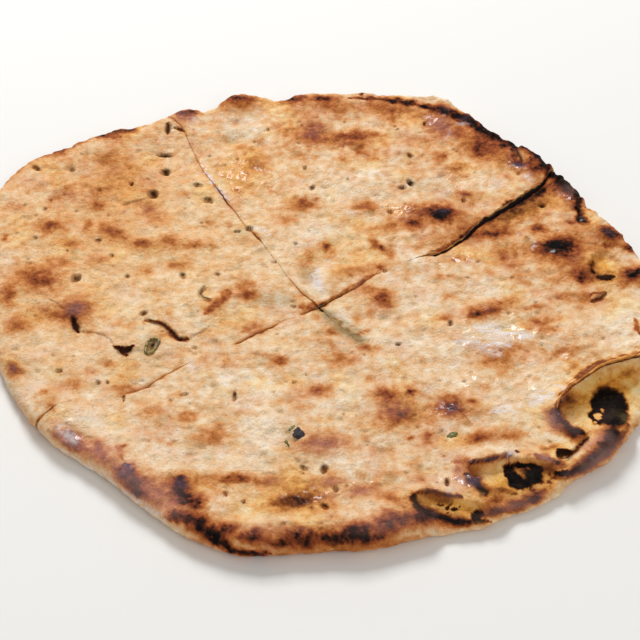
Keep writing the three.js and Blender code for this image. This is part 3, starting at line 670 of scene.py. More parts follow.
# ----------------------------------------------------------------------------- the marks
# Browning, from 0 for raw dough to 1 for charcoal, laid over the plain crust.
SCORCHES = ovals(
    # left quarter
    (-101, 33, 9, 7, .62), (-87, 33, 3.5, 8, .42), (-77, 30, 13, 6.5, .55, -40), (-65, 23, 8, 6, .5),
    (-55, 24, 6.5, 7, .55), (-46, 22.5, 9, 4.5, .42, 10), (-51, 11, 7, 4, .4), (-63, 8, 5, 5, .28),
    (-92, 23, 7, 5.5, .32), (-95, 13, 11, 7, .26), (-81, 14, 9, 6, .26), (-117, 26, 2.5, 3.5, .45),
    (-103, 5, 16, 12, .62, -25), (-99.5, 1.5, 6, 5, .4), (-112, -4, 6, 10, .52), (-87, -12.5, 9, 9, .5),
    (-86, -11, 15, 14, .22), (-93, -16, 13, 6, .36, -20), (-107, -21, 9, 8, .4), (-99, -13, 9, 6, .16),
    (-83.5, 45, 5.5, 5, .5, -20), (-64, 43, 7, 8, .3), (-83, 73, 7, 5, .26), (-97, 53, 8, 8, .18),
    (-116, 45, 7, 6, .3), (-85, 53, 7, 6, .26), (-60, 37, 8, 7, .24), (-103, 78, 6, 5, .7),
    (-81, 87, 14, 8, .26), (-77, 65, 16, 34, .12), (-86, 62, 64, 44, .14, -20), (-85, 90, 5, 4, .5),
    (-74, 92, 5, 4, .5), (-51, 52, 4, 4, .24), (-41, 35, 4, 3, .22), (-24, -5, 8, 5.5, .6),
    (-25, 1, 5, 4, .32), (-22, -22, 8, 7, .36), (-73, -40, 6, 4, .38), (-84, -50, 7, 7, .3),
    (-93, -54, 4, 4, .34), (-66, -52, 6, 3.5, .34), (-90, -60, 4, 8, .34), (-106, -43, 5, 8, .56, 20),
    (-53, -26, 5, 4, .2),
    # back quarter
    (-1, 91, 10, 15, .5), (0, 87, 6, 6, .28), (-12, 91, 8, 6, .22), (-4, 46, 9.5, 9, .58),
    (-11, 37, 6.5, 5, .26), (-23, 71, 9, 12, .3), (-26, 80, 9, 4, .2), (14, 87, 18, 9, .58, 8),
    (21, 88.5, 8, 4, .34), (18, 80, 5, 7, .42), (11, 73, 5, 5, .34), (22, 76, 8, 6, .26),
    (19.5, 45, 9.5, 7.5, .45, -10), (48.4, 39.9, 9.5, 7.5, 1, -8), (49, 40.6, 7, 5, .8),
    (42, 41, 20, 11, .5, -6), (37.5, 34.4, 8, 4.6, .66, -15), (27, 32, 8, 5, .32), (12, 35, 5, 6, .12),
    (43, 85, 16, 8, .26), (56, 68, 10, 6, .24), (65.5, 77, 7, 7, .48), (66, 83, 14, 12, .32, -45),
    (51, 75, 6, 4, .5, 50), (58, 52, 5, 4, .48), (-2, 16, 5, 10, .32, -15), (-7, 12, 10, 10, .12),
    (4.5, 21.5, 5, 6, .6), (5, 16, 4, 5, .12), (24, 22, 8, 4, .68, -45), (29, 18, 6, 4, .26),
    (16, 8, 14, 7, .32, 15), (24, 10, 6, 4, .4, -20), (30, 100, 8, 8, .2), (-32, 112, 16, 7, .68),
    (-32, 107, 18, 8, .3), (-9, 112, 9, 7, .72), (3, 112, 14, 5, .66), (-55, 102, 5, 4, .78),
    (-50, 103.5, 5, 4, .86), (-53, 99, 8, 7, .42), (10, 103, 10, 8, .16), (50, 92, 10, 8, .22),
    (85, 68, 8, 12, .34), (60, 46, 6, 3, .1), (55, 92, 18, 10, .4, -40), (68, 82, 14, 12, .36, -50),
    (47, 98, 12, 8, .34, -20), (76, 73, 12, 10, .34), (33, 105, 16, 8, .34), (23, 107, 12, 7, .34),
    (6, 107, 14, 7, .34),
    # right quarter
    (25, -6.5, 9, 9, .58), (24.5, -6.5, 4, 4, .4), (27, -11, 5, 5, .24), (19, -2, 7, 7, .28),
    (20, -15, 3.5, 6, .22), (15, -17, 4, 6, .3), (6, -24, 6, 4.5, .52, -35), (19, -32, 6, 3.5, .42),
    (47, -17, 6, 4, .48), (49.5, -6, 5, 4, .34), (47, 4, 5, 3, .26, -40), (34, 4, 5, 5, .1),
    (58.6, -15, 8, 6, .76, 10), (65, -12, 12, 5.5, .5, 22), (71, -8, 8, 4, .14),
    (81, -12, 10, 4, .36, 5), (81, -19, 13, 5, .44, 15), (84, -23, 10, 4, .26), (33, -24, 10, 4, .1),
    (50, -27, 10, 5, .14), (64, -38, 10, 8, .46, 20), (72, -32, 10, 5, .3, 15),
    (88, -34, 15, 5, .38, 22), (68, 28.5, 13, 5.5, .66, 5), (78, 28, 12, 5, .08), (73, 19, 14, 9, .32),
    (74, 11, 8, 5, .36), (80, 6, 10, 6, .24), (64, 7, 8, 4, .24), (54, 14, 12, 5, .28),
    (79, 42.6, 28, 9, .44, 36), (-28, 64, 22, 22, .14), (60, 49, 18, 10, .22), (58, 30, 14, 12, .3, 40),
    (70, 34, 18, 8, .16, 20), (100, 49, 9, 16, .42), (92, 22, 15, 10, .92, 18),
    (91.2, 21.4, 12, 6.4, .86, 10), (94, 24, 5, 4, .6), (94, 17, 20, 12, .4),
    (85.3, 31.6, 5.5, 4.6, .84), (100, 6, 13, 9, .62), (99.5, 3, 5, 4, .62), (90.5, -5.5, 6, 5, .38),
    (100, -8, 14, 12, .36, 30), (111.5, 28.6, 11, 7.5, .92, -40), (111, 22, 8, 3, .56),
    (118, 7, 10, 5, 1, 25), (118, 3, 12, 6, .36, 20), (92, 53, 12, 8, .22), (98, 35, 4, 3, .62),
    (102.5, 36, 4, 4, .96), (60, -52, 8, 5, .2), (70, -60, 8, 6, .1), (58, -62, 12, 7, .08),
    (80, 40, 18, 8, .16, 20), (104, 50, 8, 12, .1),
    # front quarter
    (2, -52.5, 8, 5, .58, 10), (-5, -55, 9, 4, .06, 25), (-12, -38.5, 6.5, 5, .56),
    (10, -38.5, 10, 6, .28, -10), (19, -47.5, 5, 4, .3), (24.5, -54.5, 9, 7, .62, -20),
    (29, -64, 13, 14, .44, -60), (30, -65.5, 7, 7, .36), (47, -61.5, 12, 9, .64), (47, -57, 6, 5, .34),
    (33.5, -54, 2.6, 3.2, .82), (32.5, -75, 2.6, 2.4, .6), (38.5, -75.5, 4, 8, .48, -15),
    (55, -75, 10, 5, .56, 25), (-34, -74, 10, 8, .4), (-43, -65, 6, 4, .28), (-55, -63, 8, 8, .24),
    (-25, -93, 9, 5, .58, 8), (-31, -93, 22, 5, .26), (-14, -94, 10, 6, .34),
    (-6.5, -102.5, 13, 5.5, .72, 12), (-5, -102, 24, 12, .24, 5), (6, -94, 8, 5, .46),
    (15, -98, 10, 4, .44), (25, -101, 8, 4, .4), (37, -92, 6, 5, .14), (3, -77, 16, 9, .4),
    (-36, -37, 22, 10, .05), (-60, -44, 10, 5, .06, 25), (54.5, -58, 2.6, 2.4, .52),
    (-63.5, -78.5, 2.8, 2, .72), (-70, -82, 2.6, 6, .2, -15), (-44, -97, 8, 10, .66, 25),
    (-42, -101, 7, 7, .46), (-38, -103, 5, 5, .56), (-62, -90, 6.5, 8, .8, 15), (-59, -96.5, 5, 5, .84),
    (-53, -99, 16, 10, .42, -45), (-83, -73, 2.6, 3, .62), (-80, -79, 5, 6, .58),
    (-86, -76, 14, 6, .1, -45), (-74, -78, 8, 12, .12, -20),
)
SCORCH_STROKES = strokes(
    # left quarter
    (5, .58, (-31, -3), (-35, -9), (-39.5, -15)), (5.5, .6, (-89, 87), (-82, 90.5), (-73, 92.5)),
    (3, .4, (-104, 79), (-97, 82), (-90, 86)), (5, .34, (-123, 58), (-118, 67), (-110, 75), (-104, 79)),
    (2.2, .5, (-59.5, 96), (-59.5, 89)), (1.4, .6, (-58, 92.5), (-55.5, 92.4), (-53, 90.5)),
    (3, .5, (-87.5, -15), (-86.5, -19)),
    # the crossing, and the edge of the cut to its right, darkened as painted shade along the gap
    (4.4, .48, (-6, -12.5), (-3, -11), (0, -9.5)),
    (1.2, .4, (0, -11.4), (6, -7), (12, -2.2), (18, 3.2), (25, 8.6)),
    (2.4, .62, (43, 18), (48, 20), (56, 26.6), (63, 34)),
    (1.5, .62, (-61, -18.2), (-57, -19.2), (-54, -20.6), (-51.6, -23.6)),
    (1.5, .74, (-54.6, -20.6), (-52, -23.6), (-50, -26), (-48.4, -27.6), (-46.6, -27.8),
     (-44.8, -27.2)),
    # back rim: the burnt ridge
    (3.2, .66, (14, 113.5), (24, 112.5), (35, 110.5), (44, 107.5)),
    (4.4, .8, (44, 107.5), (52, 104), (60, 99.5), (67, 93), (73, 87.5)),
    (6, .22, (58, 98), (64, 92), (70, 85.6), (75, 80)),
    (4.4, .8, (73, 87), (77, 83), (82, 82), (86, 78), (89.5, 73), (92, 66)),
    (2.2, .6, (79, 81), (79, 76), (80.5, 71)),
    (2, .85, (19, 115), (21.5, 117.5), (26, 117), (31, 115.5)), (5, .5, (85, 74), (87, 69), (91, 64)),
    # painted shade on the open slit's edges and walls, and the right quarter's black corner
    (3.4, .6, (60, 31.4), (68, 37.2), (75, 42.6), (82, 47.8), (91, 55.6)),
    (4.6, .62, (80, 47.4), (84, 50), (88, 53), (92, 57.4)),
    (2, .85, (72, 44.4), (75, 46.8), (77.6, 48)),
    (7, 1, (91, 62.4), (94.7, 63.4), (98.4, 59.6), (101.6, 53.4), (102.6, 48)),
    (3.4, .82, (101.6, 54), (101.4, 48), (101.2, 44), (102, 39), (101, 35.4)),
    (1.2, .62, (100.5, -6.8), (103, -4.2), (107, -3.4)), (1, .52, (101.5, -8), (105, -7), (107, -4.5)),
    (2, .64, (103.8, 14), (103.6, 9), (104.5, 6)), (2.6, 1, (104.5, 5), (107.5, 4.5), (111, 5.4)),
    (2.4, .56, (115.5, -18), (116.5, -26)),
    # front rim, from left to right: a rosy brown band, its chars and the orange strip under them
    (9, .16, (-89, -70), (-78, -79), (-67, -88), (-56, -99), (-46, -107), (-36, -112), (-24, -115)),
    (10, .5, (-24, -117), (-12, -117.5), (2, -118), (16, -116), (28, -111), (38, -107)),
    (6, .34, (-40, -119), (-32, -122), (-20, -125.5), (0, -125), (20, -122), (34, -118)),
    (3.4, .45, (-83.6, -71), (-81.4, -75), (-79.4, -79)),
    (2.6, .45, (-73.4, -76), (-71, -80.6), (-69.6, -84.6)),
    (5.2, .86, (-62.6, -86), (-61.2, -90), (-59, -96), (-57, -100.6)),
    (6.2, .8, (-44.5, -92), (-43.5, -97), (-42.5, -103)),
    (7.4, .66, (-46, -107), (-40, -110.5), (-34, -115), (-28, -120)),
    (3, .86, (-34, -118), (-30, -121), (-24, -124.4), (-14, -124.6)),
    (4, .56, (54, -109.5), (62, -107), (70, -103), (77, -98)),
    (3.6, .6, (84, -93.4), (91, -88.6), (98, -82), (103.6, -75.4), (107, -69)),
    (6, .22, (-90, -66), (-85, -71.6), (-79, -78), (-73, -83.6)),
    (5, .4, (34, -111), (42, -112.6), (50, -113)), (3.4, .46, (-88.6, -72), (-84, -77.4), (-79, -82)),
    (7, .26, (-75, -80), (-66, -88), (-58, -96), (-50, -104)),
    (2.2, .4, (-66.4, -78), (-64.6, -81), (-63, -84)),
) + strokes(
    (2.8, 1, (-71, -31.8), (-68.4, -33.2), (-66.4, -33.2), (-64.2, -31)),
    (2.6, 1, (-69.4, -33), (-67.4, -35.2), (-66.4, -36.2)),
    (1.6, .7, (-50.6, -25.4), (-49, -27.6), (-45.6, -27.6)),
    (1.9, .95, (-87.3, -17), (-86.4, -21), (-85.4, -24.5)),
    crisp=True)
# Charred crumbs by the middle and on the right, and charred lumps on the back rim and the front rim.
RIM_CHAR = ovals(
    (-62, -15.6, 1.6, 1.4, .35), (-38.8, -8, 3, 2, .45), (-60.6, -18.6, 2, 1.4, .7),
    (-57.6, -19.4, 1.4, 1.2, .6), (-55.6, -20.6, 1.8, 1.4, .8), (-53.4, -22, 2, 1.8, .7),
    (-51.6, -24.8, 2.2, 1.8, .8, 30), (-50.6, -26.8, 2.4, 1.6, .8), (-46.4, -28.4, 2.6, 1.4, .9),
    (-54.6, -23.8, 1.4, 1, .5), (7.4, -17.8, 2.2, 1.2, .75, -40), (9.8, -20.6, 2.6, 1.2, .8, -50),
    (12.4, -23.4, 2.6, 1.2, .8, -40), (15.4, -25.8, 2, 1.2, .7, -40), (18.6, -23.6, 1.6, 1.2, .5),
    (17, -25, 1.6, 1, .5), (2.6, -10.6, 4, 2.6, .9, 30), (.6, -12, 3, 2, .6), (80.5, 26, 1.6, 1.2, .4),
    (82, 22, 1.2, 1.6, .4), (33, 110.8, 8, 3, .7, -5), (39, 110.2, 7, 3.6, .8, -10),
    (46, 106.8, 6, 3.4, .7, -20), (52.3, 103.6, 9, 6.4, 1, -20), (58, 100, 6, 4, .7, -40),
    (61.5, 98.6, 7.4, 7, 1, -30), (66.5, 93.6, 8, 5, .9, -40), (69.6, 90.6, 6, 4.6, .95, -45),
    (72.8, 87.4, 4.6, 5, 1, -45), (75.4, 81.4, 5, 5, .85), (78.6, 83, 4, 3.4, .9),
    (82.6, 81.4, 6.4, 3.6, .97), (88.6, 75, 4.4, 4.4, .97), (90.8, 69, 4.6, 4.6, .97),
    (80.8, 69.4, 5.4, 4.6, .97), (86.5, 65, 4, 5, .5), (96.6, 57.6, 9, 7, .9, -50),
    (97, 60, 7, 6, .7, -50), (24, 113, 6, 2.4, .3), (118.6, 20.5, 5, 5, .9), (106, 44, 3, 5, .4, 20),
    (-44.7, -109.3, 6, 5, .8), (-37, -112, 7, 7, .9), (-33, -116.2, 8, 6.5, .97, -30),
    (-29.2, -120, 7, 4, .9, -30), (-27.6, -114, 7, 6.4, .74), (-19.6, -117.4, 8, 6.5, .66),
    (-10.5, -120.4, 8, 4.4, .74), (-4.4, -116.4, 9, 6.6, .8), (-2.6, -121, 6, 3, .95),
    (4, -118, 6.4, 6, .76), (11.4, -117.6, 9, 6, 1, 5), (11, -117.4, 5, 4, .9), (12.5, -114, 5, 4, .85),
    (17, -119, 6, 3.4, .85), (16.4, -114, 5, 7, .66), (24, -112, 12, 8, .6, 15),
    (22, -117, 10, 4, .6, 5), (34, -110, 10, 6, .6, 15), (28, -107, 12, 4, .4, 10),
    (-38, -103, 4.6, 4.6, .74),
)


# Inside and around the burst blisters: charcoal, brown edges and the yellow of stretched dough.
BLISTER_CHAR = ovals(
    (102.6, -60.6, 12, 18.8, 1, 12), (99.6, -61, 8.4, 14, 1, 10), (97, -65.6, 5.8, 8.8, 1, 10),
    (100, -66, 8, 6.4, 1), (84, -82, 6, 4, 1, 12), (65.2, -90.6, 4.6, 7.4, .95, 10),
    (68.4, -95.6, 9, 4.8, 1), (66.6, -93.6, 5.4, 5.4, 1), (72.8, -92.8, 5.4, 7, 1),
    (74.2, -88.8, 4, 4.6, .95), (69.4, -87.3, 9.4, 2.8, .92), (68, -81.6, 2.2, 1.8, .85),
    (83.2, -90.6, 7.6, 3.4, 1, 10), (75.3, -95.2, 1.9, 1.8, .66), (77.8, -94.6, 1.9, 1.6, .62),
    (78, -91.4, 1.6, 1.4, .5), (72.4, -98.4, 2.4, 1.6, .66), (79.6, -93, 1.6, 1.4, .5),
    (66, -99.6, 2, 1.4, .5), (41, -104.6, 1.6, 1.6, .66), (43.4, -105.6, 2.2, 1.7, .85),
    (45, -104.4, 1.4, 1.6, .6), (46.4, -106.6, 2.2, 1.6, .85), (44, -107.8, 1.5, 1.3, .75),
    (47.6, -105, 1.4, 1.2, .6), (53.4, -109, 3.8, 6.8, 1, -18),
    crisp=True)
BLISTER_BAKE = ovals(
    (90, -72.8, 6.4, 4, .9, -32), (83.6, -91.6, 9, 3.4, .6, 20), (89, -88.6, 12, 4, .5, 32),
    (61, -95.6, 5, 5, .2), (54, -88.6, 9, 5, .3), (78, -88, 7, 7, .34), (92, -58, 20, 14, .12, 50),
    (87, -59, 7, 12, .28), (103, -60.5, 14, 22, .26, 5), (69.5, -91, 16, 14, .26),
    (101.6, -49.5, 14, 5, .1, 20), (50, -105, 14, 8, .16, -10), (76, -90, 12, 10, .24, 10),
    (110.5, -44.5, 9, 4, .3, 25), (87.4, -57.4, 7, 6, .42), (86.6, -58, 5, 8, .3),
    (91.6, -56, 5, 3, .1, 40), (70.9, -90.2, 4.6, 3.8, .72), (51.9, -89.2, 5, 5, .42),
    (58, -88.4, 8, 4, .1), (62, -98.4, 6, 4, .66), (52.6, -94.4, 4.4, 5, .8), (56, -98.6, 5, 5, .72),
    (77, -89.4, 6, 5, .42), (79.7, -79.4, 8, 2.6, .45, 5), (60.6, -102.3, 6, 3, .66),
    (58, -106.4, 7, 5, .66), (60.2, -107, 5, 3, .6), (66, -104, 8, 4, .55, 10),
    (72, -103, 7.5, 4.4, .92, 22), (66, -107, 10, 3, .5, 18), (78, -98, 6, 4, .4, 25),
    (65, -74, 14, 5, .38, 10), (40, -101, 12, 5, .3, -10), (42, -102.4, 6, 3, .55, -10),
    (82, -86.4, 5, 4, .64), (80.6, -67, 4, 10, .24, 15), (87.6, -75.4, 7, 4, .5, -40),
    (72, -100.4, 8, 3, .35, 20),
)
# Where the char has flaked off.
FLAKED = ovals(
    (97.4, -65.4, 2.8, 4.4, .95, 15), (98.8, -62.2, 1.4, 2.4, .85, 20), (96, -68, 1.6, 1.2, .8),
    crisp=True)
BLISTER_STROKES = (EAST_BLISTER.lip(2, 9, 1.7, .62, -0.4), *strokes(
    (3.8, 1, (84.2, -57), (82.8, -61), (83.6, -65.6), (86, -69.6), (91, -73.2)),
    (4.4, .56, (82.4, -60), (81.2, -64), (82.2, -68), (84.8, -71.4), (88.6, -74.6)),
    # The fold: its dark lower right is partly char and partly painted shade on the side turned from the
    # light, and the thin stroke along its upper left is a painted shaded crease.
    (7, .93, (86, -90), (91.4, -86), (96.4, -81), (100, -76.4), (102, -71)),
    (4.6, .5, (96, -77.6), (98.6, -74.4), (100.4, -70.6)),
    (4.4, .84, (99, -76), (100.6, -72.4), (101.4, -68.6)),
    (1.5, .74, (92.8, -74.6), (89.4, -78.8), (86, -83)),
    (3.6, .97, (52, -85.8), (56, -84.4), (60, -83.2), (65, -82)),
    (3.6, .48, (46, -86), (49.5, -85), (52.4, -85.6)),
    (3.8, .88, (50.2, -90.4), (52, -93.4), (54.4, -96.4), (57, -100)),
    (3, .3, (47.6, -88), (47.6, -92), (49.6, -96)), (2.8, .66, (73.6, -82.8), (77.6, -84), (82, -86.4)),
    (2.6, .84, (31.8, -101.4), (33.4, -99), (38, -98.2), (44.6, -99.8), (49, -101)),
    (4, .98, (31.8, -100.6), (34, -104.8), (39.4, -109), (44.4, -111), (50.6, -112.2), (57.4, -112)),
), *strokes(
    (2.6, 1, (104, 4.4), (107.5, 4.2), (111, 5)),
    crisp=True))
OCHRES = ovals(
    (-70, 20, 110, 110, .18), (101, -56, 42, 27, 1, 38), (68, -93, 32, 16, 1, 12),
    (44, -104.6, 26, 10, 1, -12), (108, 10, 11, 17, .85, 10), (79, 42, 28, 8, 1, 33),
    (84, -79.6, 14, 5, .5, 10), (102, -50, 30, 12, 1, 30), (-31, -97, 26, 9, .25),
    (-8, -104, 22, 10, .35), (40, 100, 18, 10, .3), (-77, 64, 14, 30, .24), (64, -38, 12, 8, .28, 20),
    (-30, 64, 24, 26, .5, -20), (-4, -99, 16, 16, .6),
)
# Grey-olive tints, and painted shade: many of these lie in dents, holes and hollows, where the shade falls.
OLIVES_AND_SHADES = ovals(
    (-8.8, -73, 3, 9, .8), (-60, -34, 4, 4, 1), (-2, 4.5, 5, 9, 1, 18), (-2.2, 3.6, 3.6, 6, 1, 18),
    (-60, -27, 6, 10, .4, -10), (77, 39, 7, 3, .8, 30), (-57.5, -30.5, 9, 6, .95, 60),
    (-53, -25, 5, 5, .5), (108, 11, 9, 14, .5, 10), (90, -61, 8, 9, .45), (-2, 5, 5, 7, .9, 15),
    (-33.5, 86, 7, 5, .55, 20), (-23, 33, 8, 3, .5, 10), (-13, -8, 22, 14, .3), (-29, 30, 7, 5, .6),
    (-27, 26, 8, 10, .35), (98, 63, 8, 6, .3), (33, -84, 5, 4, .3), (-84, 62, 20, 8, .3),
    (-90, -46, 10, 8, .4), (38, 59, 7, 6, .5), (36, 76, 6, 6, .4), (52, 52, 8, 6, .4, 60),
    (-26, -107, 8, 5, .5), (108, -3, 10, 3, .2, 20), (60, 49, 16, 9, .5), (45, 57, 14, 8, .35),
)
# Where the dough stayed pale. The one at (60, 95) lightens the place of a painted highlight.
PALES = ovals(
    (96, -51, 11, 8, .7, 20), (92, -61, 8, 9, .4), (-10, -108, 22, 5, .4), (80, 26, 14, 12, .3),
    (-106, 12, 10, 8, .4), (58, -94, 8, 7, .6), (-118, -30, 10, 18, .6), (-104, -52, 10, 10, .5),
    (-20, -70, 16, 14, .5), (40, -90, 14, 8, .5), (42, -10, 40, 14, .3), (2, -50, 12, 10, .4),
    (46, -47, 26, 10, .3), (0, 30, 26, 54, .4), (80, 10, 16, 10, .5), (-62, -94, 26, 8, .5, -42),
    (-80, -66, 16, 8, .4, -40), (8, -16, 16, 10, .4, -30), (16, -48, 22, 14, .3), (10, -72, 14, 5, .3),
    (-60, 30, 20, 14, .4), (18, -12, 18, 12, .5), (-40, -88, 56, 8, .5, -8), (-12, -98, 20, 6, .4),
    (-18, 13, 16, 14, .3), (-100, -10, 16, 12, .4), (34, -30, 30, 12, .4), (8, -86, 26, 8, .4),
    (58, -24, 24, 18, .4), (-52, 48, 14, 10, .3), (112, -22, 22, 26, .7), (1, 2, 5, 12, .9, -10),
    (-58, -101, 60, 9, .8, -42), (-70, -93, 40, 8, .8, -42), (0, -111, 10, 3, .6),
    (-20, -108, 16, 6, .6), (20, -104, 14, 8, .7), (78, -54, 10, 14, .8, 10),
    (84, -75.6, 8, 4, .6, -30), (10, 51, 34, 12, .6), (2, 27, 18, 16, .5), (18, -52, 18, 10, .7),
    (14, -60, 14, 12, .5), (-20, -29, 22, 12, .6), (-96, -48, 10, 10, .6), (-90, -65, 12, 6, .7, -40),
    (66, -5, 18, 8, .5), (67, -20, 14, 6, .6), (80, -29, 14, 6, .5), (82, 27, 12, 8, .4),
    (84, 10, 12, 8, .4), (-66, -74, 14, 6, .5, -30), (-70, -10, 16, 14, .5), (-81, -37, 10, 9, .4),
    (-91, 82, 11, 6, .35, 20), (1, 1, 6, 12, .9, 20), (2, 8, 4, 9, .5, 10), (-36, 57, 4, 12, .9, 30),
    (-22, 31, 5, 5, .7), (-43, 83, 11, 8, .35), (17, 62, 22, 16, .35), (48, 62, 12, 8, .3),
    (60, 95, 3.6, 2, .9), (105, -16, 26, 24, .65), (112, -28, 12, 12, .5), (70, -66, 22, 14, .45, 20),
    (-15, -72, 14, 24, .75), (-20, -55, 12, 10, .55, 60), (-36, -81, 20, 7, .5), (-42, -46, 4, 6, .6),
    (5, -85, 12, 6, .45), (-66, -62, 20, 9, .35, -25), (60.5, -79.4, 15, 5, .9, 8),
    (48, -77, 10, 5, .3), (38, 0, 24, 14, .5), (62, -3, 22, 12, .4), (-61, -25, 6, 9, .7, -10),
    (17, 41, 8, 3, .4), (62, -56, 18, 10, .4, 20), (10, -55, 6, 8, .45), (111.5, -57, 4.6, 22, .7, -22),
    (93.5, -66, 3.6, 7, .6, -25), (88, -66.4, 7, 3.4, .6, -40), (78, -93, 10, 8, .3),
    (106, 40, 7, 14, .45, 20), (52, 112, 18, 4, .7, -25), (86, -63, 10, 6, .3, 20),
    (-58, -101, 14, 4, .5, -40), (-76, -91, 26, 4, .55, -40), (30, -72, 20, 12, .25),
    (-46, -84, 20, 8, .4, -30), (-72, -70, 26, 10, .5, -35), (-22, -86, 26, 9, .4),
    (30, 8, 16, 8, .3, 10), (40, -12, 20, 10, .3), (-45, 45, 14, 14, .2),
)
# A painted bluish-purple sheen on the char, where it reflects the window light.
CHAR_SHEENS = ovals(
    (-61.6, -88, 6, 6, 1), (-43.6, -95, 5, 6, .6, 20), (-106, -43, 4, 5, .5, 20),
    (-4.4, -113.6, 8, 3, .3), (-19, -114.6, 8, 3, .3), (4, -77.4, 12, 6, .4), (-13, -94, 8, 5, .3),
    (80.8, 69.4, 5, 4, 1), (111.5, 29, 6, 4, .3, -40), (83, -66, 4, 6, .5, -30),
    (58.6, -83, 12, 2.4, .5, 12), (52.4, -94, 5, 5, 1), (91, -84, 14, 3, .3, 40), (47, -62, 8, 6, .4),
    (-55, 103, 5, 4, .3), (53, 105, 5, 3, .4, -20), (61, 99.6, 4, 4, .4), (49, 41.4, 4, 3, .4),
    (-38, 64, 2.5, 10, .3, 28), (65, -81.8, 5, 3, .8), (84.6, 62, 3, 7, .5, 10),
)
# Rosy brown tints, and painted pink highlights and sheen: on the front-left rim, on the blisters' lips and
# walls, and on the lit upper left of the fold.
ROSES_AND_SHEENS = ovals(
    (-64, -90, 34, 9, .8, -44), (-84, -74, 16, 7, .9, -45), (96, -84, 22, 5, .9, 45),
    (-87, -12, 8, 8, .6), (66, -105, 20, 4, .6, 20), (-86, -70, 9, 6, .9, -40), (-81, -76, 6, 8, .7),
    (-72, -79, 5, 10, .8, -10), (-67, -80, 9, 7, .7), (-53, -97, 14, 9, .7, -40), (2, -78, 16, 9, .5),
    (-1, 91, 9, 12, .35), (49, 96, 7, 7, .9), (53, 93, 6, 8, .6), (-53, 99, 9, 6, .7),
    (46, -97, 8, 6, .9, -20), (81.4, -66, 5, 10, .9, 15), (29, -62, 10, 12, .35, -60),
    (-66, 43, 10, 10, .3), (98, 54, 8, 8, .4), (57, -30, 8, 5, .5), (76, 64, 6, 8, .3),
    (7, -94.4, 12, 5, .6), (-2, -57, 10, 6, .3, 20), (14.7, -98.7, 12, 5, .7),
    (-48, -104, 12, 10, .7, -45), (93.5, -77, 12, 3, 1, 42), (24, -110, 22, 10, .5, 15),
    (47.6, -91, 4, 10, .9), (80, -68, 5, 12, .7, 15), (-16, -112, 16, 5, .4),
    (77, -83.6, 8, 3, .9, -20),
)
# Where the dough browned evenly.
EVENS = ovals((-72, 32, 100, 104, 1), (-78, -34, 66, 40, .9))
# White flour, the white of steam-blistered skin, and painted white highlights, glints and sheen where the
# light catches the crust.
FLOURS_AND_GLINTS = strokes(
    (2.6, .6, (-87.4, -68.6), (-84, -73), (-80.4, -77)), (5, .6, (60, -63), (68, -60)),
    (4.4, .62, (-86, -81), (-76, -89.6), (-66, -97.4), (-56, -105.4), (-48, -111.6)),
    (2.4, .85, (-33.5, 47), (-37, 54), (-41, 61), (-44, 67)),
    (2.2, .7, (-24.5, 33.5), (-21, 31.5), (-17, 28)), (1.6, .35, (55, 92), (53.5, 88), (52, 84)),
    (3.8, .95, (3, -3), (1, 1), (.6, 6), (1.6, 9)), (5.4, .85, (56, -22), (66, -24), (76, -27)),
    (4.4, .8, (50, -30), (60, -29), (70, -31)), (6, .85, (74, -59), (80, -55), (86, -51)),
    (4, .5, (62, -63), (72, -61), (79, -57)), (2.6, .5, (-44, -37), (-42.6, -45)),
    (5, .7, (56, -29), (61, -32), (66, -36)), (6, .7, (60, -22), (68, -23.5), (78, -26.5)),
    (1.6, .5, (76, 27), (80, 29), (83, 24), (82, 19)), (2.2, .4, (55, 13), (60, 12.4), (64, 11)),
) + ovals(
    (-86.4, -69.4, 6, 3, .7, -40), (-82, -73, 5, 2, .6, -50), (48.4, -94, 2, 4, .6, 10),
    (44, -96.6, 2.6, 2.6, .9), (64.8, -81.6, 2.4, 1.6, .95), (67, -82.6, 1.4, 2, .95),
    (60, 95.4, 3.6, 1.8, .9), (83.4, 61.6, 2.6, 4.4, .9, 10), (89.2, 18.6, 2.2, 1.4, .8, 20),
    (79, 68, 4, 1.2, .6, -20), (102, 37, 1.4, 1.6, .8), (-49, 98, 3, 5, .5), (51, 53, 2.6, 6, .5, -20),
    (14, 41, 5, 2, .6, -10), (5, 12, 2.4, 5, .5), (-14, 74, 1.2, 2, .5), (20, 75, 1, 2, .5),
)
STAINS = strokes(
    (6, .85, (2, -12), (7, -18), (11.6, -23.6), (17, -29.6)),
    (3, .7, (6, -17), (10, -21.6), (14, -26.4)), (3, .5, (13, -25.6), (17, -28), (20, -27.6)),
    (7, .3, (-22, -8), (-14, -8), (-6, -9)), (4, .5, (81, 27), (81, 22)), (3, .2, (50, -58), (56, -66)),
)
GLOSSES = ovals(
    (-28, 62, 24, 20, .4, -20), (-45, 70, 10, 14, .2), (67, -24, 26, 13, 1, 10), (57, -31, 12, 8, .9),
    (60, -48, 18, 8, .8, 10), (78, -52, 14, 8, .8, 30), (52, 14, 16, 4, .7, 5),
    (71, 20, 10, 6, .7, -20), (62, -13, 16, 7, .2, 15), (89, 18.6, 4, 3, .3, 10),
    (-85, -72, 16, 10, .9, -45), (-62, -90, 7, 7, .3), (-4, -100, 12, 8, .4), (5, -101, 9, 7, .6),
    (51, -94, 9, 9, 1), (60, -83, 16, 4, 1, 8), (86, -69, 10, 7, .9, -40), (44, -97, 8, 8, .9),
    (94, -84, 22, 6, .4, 40), (48, 97, 9, 7, .7), (80, 69, 6, 6, .8), (17, -95, 12, 5, .6),
    (33, 43, 10, 8, .5), (47, -62, 10, 7, .6), (84, -38, 18, 8, .5, 20), (60, 60, 30, 20, .25),
    (100, 50, 8, 8, .5),
)
